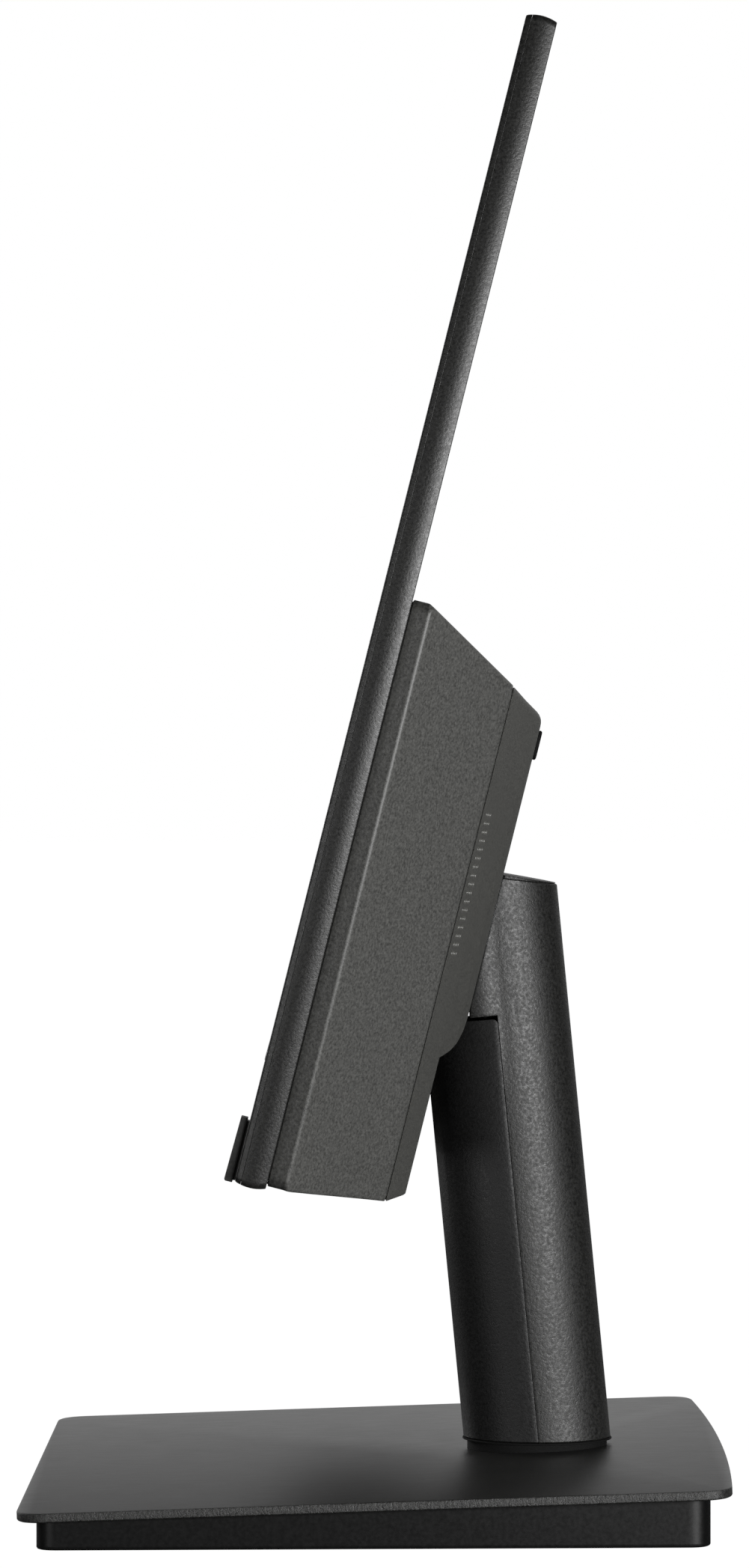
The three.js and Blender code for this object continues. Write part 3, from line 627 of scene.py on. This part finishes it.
def build_housing():
    depths = [0.6, 2.2, 3.8, 4.2, 4.5, 4.75, 5.0, 5.25, 5.5, 5.8, 6.2, 6.8, 12, 18, 24, 29, 30.95]
    rings = [housing_ring(0.02, 0.5), housing_ring(0.25, 0.45), housing_ring(0.3, 0.12)]
    rings += [housing_ring(y, 0) for y in depths]
    rings.append(housing_ring(SEAM, 0.15))
    rings.append(frame_ring(194.6, 2.3, 137.9, 1.5, SEAM))
    rings.append(frame_ring(233.6, 2, 152.3, 1.5, 4.7))
    rings.append(frame_ring(233.8, 2, 152.6, 1.5, 0.02))
    shell = loft(rings, closed=True)
    column_room = block((-22.3, 22.3), (21.2, 60), (-20, 10))
    button_hole = block((-206.4, -193.6), (8.8, 15.2), (-5, 5))
    shell = cut(shell, column_room, button_hole)
    slots = []
    for outline in slot_outlines(first=50, pitch=5.2, count=12, middle=18, half_length=9):
        slots.append(loft([[(x, y, z) for x, y in outline] for z in (135, 160)]))
    shell = cut(shell, joined(slots))
    piece(
        "housing_shell",
        shell,
        SCREEN,
        "screen",
        [HOUSING, HOUSING_PAINTED_SHADE],
        ["compute_housing"],
        # The rim's faces take the second, darker finish: painted shade on the housing's front.
        choose=lambda face: int(face.calc_center_median().y < PAINTED_SHADE_DEPTH),
    )


def cover_rings(points, corner):
    return [frame_ring(half, low, high, corner, y) for y, half, low, high in points]


FLANK = math.atan2(4.6, 22.6)  # how far the rear cover's edges fall away from square


def perforations():
    """Fine holes through the sloping edges of the rear cover, in columns beside the seam."""
    holes = []
    for side in (-1, 1):
        for row in range(17):
            for column in range(4):
                x = 192.2 - column * 2.15
                y = 31.5 + (197.6 - x) * math.tan(FLANK)
                z = 67.8 + row * 2.36
                rings = []
                for out, radius in ((-4, 0.42), (-0.28, 0.42), (0.5, 0.95)):
                    ring = []
                    for u, v in circle(radius, 10):
                        across = x + out * math.sin(FLANK) + u * math.cos(FLANK)
                        depth = y + out * math.cos(FLANK) - u * math.sin(FLANK)
                        ring.append((side * across, depth, z + v))
                    rings.append(ring)
                holes.append(loft(rings))
    return joined(holes)


CHANNEL_HALF, CHANNEL_TOP, CHANNEL_WALL = 20, 62.5, 2  # the recess that clears the column


def channel_walls(front, low, back):
    """Solids round the recess: one as deep as the lower part, one as deep as the pad."""
    across = (-CHANNEL_HALF - CHANNEL_WALL, CHANNEL_HALF + CHANNEL_WALL)
    top = CHANNEL_TOP + CHANNEL_WALL
    return [block(across, (front, 36.2), (low, top)), block(across, (34, back), (48.5, top))]


def build_rear_bumpers():
    for side, name in ((-1, "left"), (1, "right")):
        x0 = side * 135.6
        rings = []
        for y, inset in ((PAD + 0.1, 0.1), (PAD + 0.55, 0), (PAD + 0.85, 0.12), (PAD + 1, 0.45)):
            outline = frame_ring(10 - inset, 122.6 + inset, 130.8 - inset, 2.2 - inset, y)
            rings.append([(x0 + x, y, z) for x, y, z in outline])
        piece(f"bumper_{name}", loft(rings), SCREEN, "screen", RUBBER, [f"rear_bumper_{name}"])


def build_rear_cover():
    outer = loft(
        cover_rings(
            [
                (31.22, 197.2, 0.7, 139.5),
                (31.5, 197.2, 0.6, 139.5),
                (31.52, 197.5, 0.4, 139.8),
                (31.8, 196.5, 0.35, 139.7),
                (36.1, 175, 1, 137.4),
                (39.9, 159.9, 3.3, 135.5),
                (40.8, 156.3, 3.9, 134.9),
                (41.4, 153.4, 4.4, 134.3),
                (41.85, 150.9, 5, 133.6),
                (42.1, 149.0, 5.5, 132.9),
                (PAD, 147.3, 6, 132.1),
            ],
            1.6,
        )
    )
    below = [(LOWER, -10), (80, -10), (80, STEP_CURVE[0][1])] + STEP_CURVE
    outer = cut(outer, prism(below, (-220, 220)))
    outer = soften(outer, 1.1, 3, 28, lambda p: p.y > 33 and p.z < 37 or p.y > 36.9 and p.z < 48)
    hollow = loft(
        cover_rings(
            [(29, 195.4, 2.3, 137.6), (34.3, 171, 3, 135.2), (PAD - 2, 150, 6, 131.8)],
            2.5,
        )
    )
    inner_step = [(y - 2, z + 1.2) for y, z in below]
    hollow = cut(hollow, prism(inner_step, (-220, 220)))
    for part in channel_walls(21.5, 0.9, 41.7):
        outer = boolean(outer, part, "UNION")
    hollow = cut(hollow, *channel_walls(10, 0, 50))
    recess = block((-CHANNEL_HALF, CHANNEL_HALF), (23.5, 60), (-20, CHANNEL_TOP))
    port_window = block((-122, -38), (30, 60), (7, 25))
    shell = cut(outer, hollow, recess, port_window)
    shell = soften(shell, 0.7, 3, 60, lambda p: p.y > LOWER - 0.2 and -123 < p.x < -37 and 6 < p.z < 26)
    slots = []
    for outline in slot_outlines(first=62, pitch=6, count=9, middle=84, half_length=22):
        slots.append(loft([[(x, y, z) for x, z in outline] for y in (36, 50)]))
    shell = cut(shell, joined(slots), perforations())

    # Faces round the fine holes take the lighter finish, a painted highlight on the holes' edges.
    def highlight_faces(face):
        at = face.calc_center_median()
        near = 64 < at.z < 110 and 184 < abs(at.x) < 194 and at.y > 31.6
        facing = abs(face.normal.x) * math.sin(FLANK) + face.normal.y * math.cos(FLANK)
        return int(near and facing < 0.97)

    piece(
        "rear_cover_shell",
        shell,
        SCREEN,
        "screen",
        [COVER, PAINTED_HIGHLIGHT_EDGE],
        ["computer_rear_cover"],
        choose=highlight_faces,
    )
    build_rear_bumpers()


# ------------------------------------------------------------------ column

DEEP = 22  # the oval's half axes
WIDE = 16.5
WALL = 2.1
HEAD_FRONT = 45.9  # depths behind the screen of the head's and the front cover's cut faces
COVER_FRONT = 38.5
HEAD_REACH = -8.2  # and how far forward the head may come in the column's own frame
HEAD_START = 128
SHELL_TOP = 169.7
TOP_SLOPE = -13
CAP_SLOPE = -15
LEAN_DIFFERENCE = math.radians(SCREEN_TILT - COLUMN_LEAN)
HINGE = (7, 151.3)  # tilt axis in the column's own frame


def screen_plane(depth, z):
    """Where the plane at a depth behind the screen lies at height z of the column's own frame."""
    along = depth - HINGE_DEPTH + (HINGE[1] - z) * math.sin(LEAN_DIFFERENCE)
    return HINGE[0] + along / math.cos(LEAN_DIFFERENCE)


def oval_ring(z, inset=0.0):
    """The column's oval section at a height z(y)."""
    ring = [((WIDE - inset) * u, (DEEP - inset) * v) for u, v in circle(1, 120)]
    return [(x, y, z(y)) for x, y in ring]


def level(height, slope_degrees=0.0):
    slope = math.tan(math.radians(slope_degrees))
    return lambda y: height + slope * y


HEAD_SIDE = (
    (2, 7),
    (0.8, 11),
    (-0.8, 14),
    (-2, 11),
    (-3, 7),
    (-4, 3),
    (-6, -4),
    (-8.5, -12),
)  # depth, and how many degrees the side wall faces rearwards there


def oval_width(y):
    return WIDE * math.sqrt(max(1 - (y / DEEP) ** 2, 0))


def head_width(y):
    """Half width of the head: the oval behind, and a side that swells towards the screen."""
    if y >= HEAD_SIDE[0][0]:
        return oval_width(y)
    width = oval_width(HEAD_SIDE[0][0])
    for (y0, a0), (y1, a1) in zip(HEAD_SIDE, HEAD_SIDE[1:]):
        end = max(y, y1)
        stop = a0 + (a1 - a0) * (y0 - end) / (y0 - y1)
        width += (y0 - end) * math.tan(math.radians((a0 + stop) / 2))
        if y >= y1:
            break
    return width


def head_ring(height, slope, inset=0.0, swell=1.0):
    """The head's section: oval behind, swelling sides, and a flat front."""
    z = level(height, slope)
    y_front = HEAD_REACH
    for _ in range(6):
        y_front = max(screen_plane(HEAD_FRONT, z(y_front)), HEAD_REACH)
    y_front += inset
    corner = 0.6
    y_side = y_front + corner
    y_arc = max(HEAD_SIDE[0][0], y_side + 0.8)
    ring = []
    start = math.asin(y_arc / DEEP)
    for i in range(73):
        turn = start + (math.pi - 2 * start) * i / 72
        ring.append(((WIDE - inset) * math.cos(turn), (DEEP - inset) * math.sin(turn)))
    side = []
    for i in range(1, 17):
        y = y_arc + (y_side - y_arc) * i / 16
        plain = oval_width(y)
        side.append((plain + (head_width(y) - plain) * swell - inset, y))
    x = side[-1][0]
    side += [(x - 0.1, y_front + 0.28), (x - 0.28, y_front + 0.1), (x - corner, y_front)]
    ring += [(-u, v) for u, v in side]
    ring += [((x - corner) * (i / 5 - 1), y_front) for i in range(1, 10)]
    ring += list(reversed(side))
    return [(x, y, z(y)) for x, y in ring]


FOOT_EDGE = 0.35  # rounding of the shells' lower edge
SEAM_SIDE = 0.05  # how far each shell's edge lies from the seam's middle


def build_rear_shell():
    rings = []
    for z, inset in ((0, FOOT_EDGE), (FOOT_EDGE, 0), (20, 0)):
        rings.append(head_ring(z, -COLUMN_LEAN, inset, 0))
    rings += [head_ring(z, 0, 0, eased(z, 96, 127)) for z in (60, 96, 104, 110, 116, 122, 127)]
    for i in range(16):
        rings.append(head_ring(129 + i * 2.69, TOP_SLOPE * i / 15))
    for drop, inset in ((0.25, 0), (0.08, 0.08), (0, 0.25)):
        rings.append(head_ring(SHELL_TOP - drop, TOP_SLOPE, inset))
    shell = cut(loft(rings), block((-60, 60), (-60, SEAM_SIDE), (-20, HEAD_START)))

    def at_opening(p):
        return p.z < HEAD_START and abs(p.y - SEAM_SIDE) < 0.03 or abs(p.z - HEAD_START) < 0.02

    shell = soften(shell, 0.15, 2, 50, at_opening)
    inner = loft([oval_ring(level(z), WALL) for z in (-12, 60, 192)])
    front_gap = block((-13.6, 13.6), (-40, 10), (120, 180))
    shell = cut(shell, inner, front_gap)
    piece("column_shell", shell, COLUMN, "stand", STAND, ["column_rear_shell"])


def build_front_cover():
    front = loft(
        [
            oval_ring(level(0, -COLUMN_LEAN), FOOT_EDGE),
            oval_ring(level(FOOT_EDGE, -COLUMN_LEAN)),
            oval_ring(level(20, -COLUMN_LEAN)),
            oval_ring(level(60)),
            oval_ring(level(127.5)),
        ]
    )
    front = cut(front, block((-60, 60), (-SEAM_SIDE, 60), (-20, 200)))
    plane = [(screen_plane(COVER_FRONT, z), z) for z in (-100, 240)]
    front = cut(front, prism([plane[0], plane[1], (-200, 240), (-200, -100)], (-60, 60)))
    radius = 1.5
    top = 126.9
    corner = [(1, top - radius), (1, 129), (-60, 129), (-60, top), (-radius - SEAM_SIDE, top)]
    for i in range(1, 8):
        turn = math.radians(90 - 90 * i / 8)
        y, z = radius * (math.cos(turn) - 1) - SEAM_SIDE, top + radius * (math.sin(turn) - 1)
        corner.append((y, z))
    corner.append((-SEAM_SIDE, top - radius))
    front = cut(front, prism(corner, (-60, 60)))
    front = soften(front, 0.2, 2, 40, lambda p: p.z > 110 or abs(p.y + SEAM_SIDE) < 0.03)
    front = cut(front, loft([oval_ring(level(z), WALL) for z in (-12, 160)]))
    piece("column_front", front, COLUMN, "stand", DARK, ["column_front_cover"])


def build_cap():
    """A wedge that is thin at the rear, with a plug inside the shell."""
    rear = SHELL_TOP + 0.45 + DEEP * math.tan(math.radians(TOP_SLOPE))
    cap_top = rear - DEEP * math.tan(math.radians(CAP_SLOPE))
    lid = [head_ring(SHELL_TOP - 2.2, TOP_SLOPE, 2.8)]
    lid.append(head_ring(SHELL_TOP + 0.15, TOP_SLOPE, 2.8))
    lid.append(head_ring(SHELL_TOP + 0.15, TOP_SLOPE, 0.5))
    for drop, inset in ((0.15, 0.4), (0.05, 0.45), (0, 0.6)):
        lid.append(head_ring(cap_top - drop, CAP_SLOPE, inset))
    piece("column_cap", loft(lid), COLUMN, "stand", STAND, ["column_top_cap"])


def build_column():
    build_rear_shell()
    build_front_cover()
    build_cap()
    keep("column_post", STEEL, 0.4)
    keep("hinge_fixed_bracket", DARK_STEEL, 0.25)
    keep("hinge_axle", STEEL, 0.2)
    keep("hinge_nut", STEEL, 0.15)
    for name in ("left", "right"):
        keep(f"friction_washer_{name}", DARK_STEEL, 0.08)


# ------------------------------------------------------------------ base


def bezier(a, b, c, steps):
    points = []
    for i in range(1, steps + 1):
        t = i / steps
        points.append(tuple(p * (1 - t) ** 2 + q * 2 * t * (1 - t) + r * t * t for p, q, r in zip(a, b, c)))
    return points


def base_outline(half_front, half_rear, front, rear, corner):
    """The base from above: soft corners and a bowed rear edge."""
    steps = 10
    bow = 3.4
    end = (half_rear - corner, rear + bow * 0.2)
    points = [(half_front - corner, front)]
    points += bezier(points[-1], (half_front, front), (half_front, front + corner), steps)
    points.append((half_rear, rear - corner))
    points += bezier(points[-1], (half_rear, rear), end, steps)
    points += bezier(end, (0, rear + bow * 1.8), (-end[0], end[1]), steps * 3)
    points += bezier(points[-1], (-half_rear, rear), (-half_rear, rear - corner), steps)
    points.append((-half_front, front + corner))
    points += bezier(points[-1], (-half_front, front), (-half_front + corner, front), steps)
    return points


def shrunk(points, inset):
    """A closed outline moved inwards."""
    made = []
    count = len(points)
    for i, (x, y) in enumerate(points):
        before, after = Vector(points[i - 1]), Vector(points[(i + 1) % count])
        along = (after - before).normalized()
        made.append((x - along.y * inset, y + along.x * inset))
    return made


def slab(outline, levels):
    return loft([[(x, y, z) for x, y in shrunk(outline, inset)] for z, inset in levels])


SCREWS = (40.5, 54.5)
PLATE_THICK = 2.73


def deck_height(y):
    """Height of the plate's top face."""
    return PLATE_TOP + PLATE_RISE * y


def build_plate():
    low = -PLATE_THICK
    edges = ((low, 0.5), (low + 0.12, 0.2), (low + 0.4, 0), (-0.4, 0), (-0.12, 0.12), (0, 0.42))
    plate = slab(base_outline(104.5, 104.5, -102.6, 99.2, 9.5), edges)
    plate = cut(plate, joined([rod("z", 2.9, (-6, 6), 0, y) for y in SCREWS]))

    def sheared(face):
        middle = face.calc_center_median()
        return int(abs(face.normal.z) < 0.8 and abs(middle.x) + abs(middle.y) > 60)

    piece(
        "stand_plate",
        plate,
        DECK,
        "stand",
        [PLATE, PLATE_EDGE],
        ["base_plate"],
        choose=sheared,
    )


def build_tray():
    edges = ((0.8, 0.45), (0.92, 0.15), (1.2, 0), (2.0, 0), (24, 0))
    tray = slab(base_outline(101.5, 96.5, -96.9, 93.3, 6), edges)
    hollow = slab(base_outline(99.3, 94.3, -94.7, 91.1, 3.8), ((3, 0), (40, 0)))
    above = [(y, deck_height(y) - PLATE_THICK - 0.3) for y in (-200, 200)]
    above += [(200, 90), (-200, 90)]
    feet = ((-84, -80), (84, -80), (-80, 76), (80, 76))
    tray = cut(tray, hollow, prism(above, (-150, 150)))
    tray = cut(tray, joined([rod("z", 8.3, (-1, 1.7), x, y) for x, y in feet]))
    tray = cut(tray, joined([rod("z", 5.5, (-1, 5), 0, y) for y in SCREWS]))
    piece("stand_tray", tray, MACHINE, "stand", TRAY, ["base_tray"])


def build_collar():
    """A thin lip under the column's shells, on a narrower ring that stands on the plate."""
    lip = ((18.8, -0.3), (18.9, -0.42), (19.2, -0.42), (19.3, -0.3))
    wall = loft([oval_ring(level(z), 1) for z in (11, 19)])
    collar = boolean(loft([oval_ring(level(z), inset) for z, inset in lip]), wall, "UNION")
    collar = cut(collar, block((-10.7, 10.7), (-13.2, 13.2), (8, 30)))
    bmesh.ops.translate(collar, verts=collar.verts, vec=(0, COLUMN_Y, 0))
    under = [(y, deck_height(y) + 0.03) for y in (-60, 160)] + [(160, -40), (-60, -40)]
    collar = cut(collar, prism(under, (-60, 60)))
    piece("column_foot", collar, MACHINE, "stand", RUBBER, ["column_foot_collar"])


def build_base():
    build_plate()
    build_tray()
    for name in ("front_left", "front_right", "rear_left", "rear_right"):
        keep(f"foot_pad_{name}", RUBBER, 0.25)
    keep("base_weight", DARK_STEEL, 0.4)
    keep("base_screw_front", STEEL, 0.2)
    keep("base_screw_rear", STEEL, 0.2)
    build_collar()


# ------------------------------------------------------------------ bracket, ports, inside


def build_bracket():
    keep("tilt_bracket", STEEL, 0.2)
    spots = ((-31, 72), (31, 72), (-31, 100), (31, 100))
    profile = ((42.8, 1.6), (44.0, 1.6), (44.0, 3.2), (45.0, 3.1), (45.45, 2.6), (45.6, 1.8))
    for i, (x, z) in enumerate(spots):
        cross = [
            block((x - 1.5, x + 1.5), (44.7, 50), (z - 0.35, z + 0.35)),
            block((x - 0.35, x + 0.35), (44.7, 50), (z - 1.5, z + 1.5)),
        ]
        screw = cut(turned(profile, x, z, 32), *cross)
        name = f"bracket_screw_{i + 1}"
        piece(f"mount_{name}", screw, SCREEN, "screen", DARK_STEEL, [name])


def build_ports():
    keep("port_plate", STEEL)
    keep("port_board", BOARD)
    keep("power_inlet", INNER, 0.15)
    for name in ("display_socket", "usb_sockets_inner", "usb_sockets_outer", "network_socket"):
        keep(name, STEEL, 0.12)
    middle = 16
    tongues, contacts = [], []
    for x in (-83, -66.5):
        for low in (middle - 6.8, middle + 1):
            tongues.append(block((x - 5.7, x + 5.7), (22.4, 33), (low + 3.2, low + 4.9)))
            for k in range(4):
                u = x - 3.6 + k * 2.4
                contacts.append(block((u - 0.5, u + 0.5), (25, 32.6), (low + 3.05, low + 3.25)))
    tongues.append(block((-105, -94), (25.4, 33), (middle - 0.4, middle + 0.5)))
    for k in range(9):
        u = -104 + k * 1.125
        contacts.append(block((u, u + 0.45), (27, 32.8), (middle - 0.5, middle - 0.35)))
    for k in range(8):
        u = -49 - 3.7 + k * 1.02
        contacts.append(block((u, u + 0.4), (23, 31.5), (middle + 2.2, middle + 2.5)))
    contacts.append(rod("y", 0.9, (24.4, 33), -114, middle, 20))
    piece("socket_tongues", soften(joined(tongues), 0.12, 1), SCREEN, "screen", INNER)
    piece("socket_contacts", joined(contacts), SCREEN, "screen", GOLD)


def build_inside():
    for name in ("motherboard", "memory_module", "solid_state_drive", "wireless_card"):
        keep(name, BOARD)
    keep("power_switch_board", BOARD)
    keep("power_button", GLOSS, 0.25)
    for name in ("processor_cooler_plate", "heat_pipe"):
        keep(name, COPPER)
    for name in ("fan_housing", "speaker_left", "speaker_right"):
        keep(name, INNER, 0.2)
    keep("fan_impeller", GLOSS)
    keep("fin_stack", ALUMINIUM)
    keep("drive_tray", STEEL)
    keep("storage_drive", ALUMINIUM, 0.4)


build_display()
build_front_bumpers()
build_webcam()
build_housing()
build_rear_cover()
build_column()
build_base()
build_bracket()
build_ports()
build_inside()

# ------------------------------------------------------------------ studio


FLOOR_GREY = 0.15
FLOOR_GLOW = 1.18  # strength of the white that the camera sees, and its share
FLOOR_GLOW_SHARE = 0.85


def build_floor():
    """A pale round floor that the camera sees as the white studio sweep."""
    bm = bmesh.new()
    bm.faces.new([bm.verts.new((x, y, 0)) for x, y in circle(9.0, 64)])
    mesh = bpy.data.meshes.new("floor")
    bm.to_mesh(mesh)
    bm.free()
    material = bpy.data.materials.new("floor")
    material.use_nodes = True
    tree = material.node_tree
    shader = tree.nodes["Principled BSDF"]
    shader.inputs["Base Color"].default_value = (FLOOR_GREY, FLOOR_GREY, FLOOR_GREY, 1)
    shader.inputs["Roughness"].default_value = 0.9
    shader.inputs["Specular IOR Level"].default_value = 0.1
    white = tree.nodes.new("ShaderNodeEmission")
    path = tree.nodes.new("ShaderNodeLightPath")
    share = tree.nodes.new("ShaderNodeMath")
    share.operation = "MULTIPLY"
    share.inputs[1].default_value = FLOOR_GLOW_SHARE
    white.inputs["Strength"].default_value = FLOOR_GLOW
    mix = tree.nodes.new("ShaderNodeMixShader")
    tree.links.new(path.outputs["Is Camera Ray"], share.inputs[0])
    tree.links.new(share.outputs[0], mix.inputs[0])
    tree.links.new(shader.outputs[0], mix.inputs[1])
    tree.links.new(white.outputs[0], mix.inputs[2])
    tree.links.new(mix.outputs[0], tree.nodes["Material Output"].inputs["Surface"])
    mesh.materials.append(material)
    floor = bpy.data.objects.new("floor", mesh)
    bpy.context.scene.collection.objects.link(floor)


BRIGHT_WALL, DARK_WALL = 0.72, 0.012  # studio walls towards -X, and all the others


def build_world():
    """White behind the object, darker studio walls for reflections and fill."""
    world = bpy.data.worlds.new("studio")
    world.use_nodes = True
    bpy.context.scene.world = world
    tree = world.node_tree
    tree.nodes.clear()
    out = tree.nodes.new("ShaderNodeOutputWorld")
    where = tree.nodes.new("ShaderNodeTexCoord")
    apart = tree.nodes.new("ShaderNodeSeparateXYZ")
    range_x = tree.nodes.new("ShaderNodeMapRange")
    range_x.interpolation_type = "SMOOTHSTEP"
    range_x.inputs["From Min"].default_value = -1
    range_x.inputs["From Max"].default_value = -0.4
    range_x.inputs["To Min"].default_value = BRIGHT_WALL
    range_x.inputs["To Max"].default_value = DARK_WALL
    walls = tree.nodes.new("ShaderNodeBackground")
    white = tree.nodes.new("ShaderNodeBackground")
    path = tree.nodes.new("ShaderNodeLightPath")
    mix = tree.nodes.new("ShaderNodeMixShader")
    tree.links.new(where.outputs["Generated"], apart.inputs[0])
    tree.links.new(apart.outputs["X"], range_x.inputs["Value"])
    walls.inputs["Color"].default_value = (1, 1, 1, 1)
    tree.links.new(range_x.outputs["Result"], walls.inputs["Strength"])
    white.inputs["Color"].default_value = (1, 1, 1, 1)
    white.inputs["Strength"].default_value = 1.0
    tree.links.new(path.outputs["Is Camera Ray"], mix.inputs[0])
    tree.links.new(walls.outputs[0], mix.inputs[1])
    tree.links.new(white.outputs[0], mix.inputs[2])
    tree.links.new(mix.outputs[0], out.inputs["Surface"])


def softbox(name, bearing, elevation, distance, size, power):
    """An area light facing the machine. Bearing is in degrees from +X towards +Y, power in watts."""
    data = bpy.data.lights.new(name, "AREA")
    data.shape = "RECTANGLE"
    data.size, data.size_y = size
    data.energy = power
    made = bpy.data.objects.new(name, data)
    a, e = math.radians(bearing), math.radians(elevation)
    aim = Vector((0, 0.02, 0.2))
    away = Vector((math.cos(a) * math.cos(e), math.sin(a) * math.cos(e), math.sin(e)))
    made.location = aim + away * distance
    made.rotation_euler = away.to_track_quat("Z", "Y").to_euler()
    bpy.context.scene.collection.objects.link(made)


def build_camera():
    """Level, looking along -X from the machine's right side."""
    data = bpy.data.cameras.new("camera")
    data.sensor_width = 36
    data.lens = 120.29
    data.shift_x = -0.0019
    data.shift_y = -0.0367
    made = bpy.data.objects.new("camera", data)
    made.location = (1.576, -0.0005, 0.2328)
    made.rotation_euler = (math.radians(90), 0, math.radians(90))
    bpy.context.scene.collection.objects.link(made)
    bpy.context.scene.camera = made


build_floor()
build_world()
softbox("rear_right", bearing=34, elevation=0, distance=1.3, size=(0.62, 0.26), power=14.5)
softbox("front_right", bearing=-32, elevation=0, distance=1.5, size=(0.35, 0.36), power=2.8)
softbox("front_left", bearing=-125, elevation=14, distance=1.7, size=(0.9, 0.6), power=9)
build_camera()
bpy.context.scene.view_settings.view_transform = "Standard"
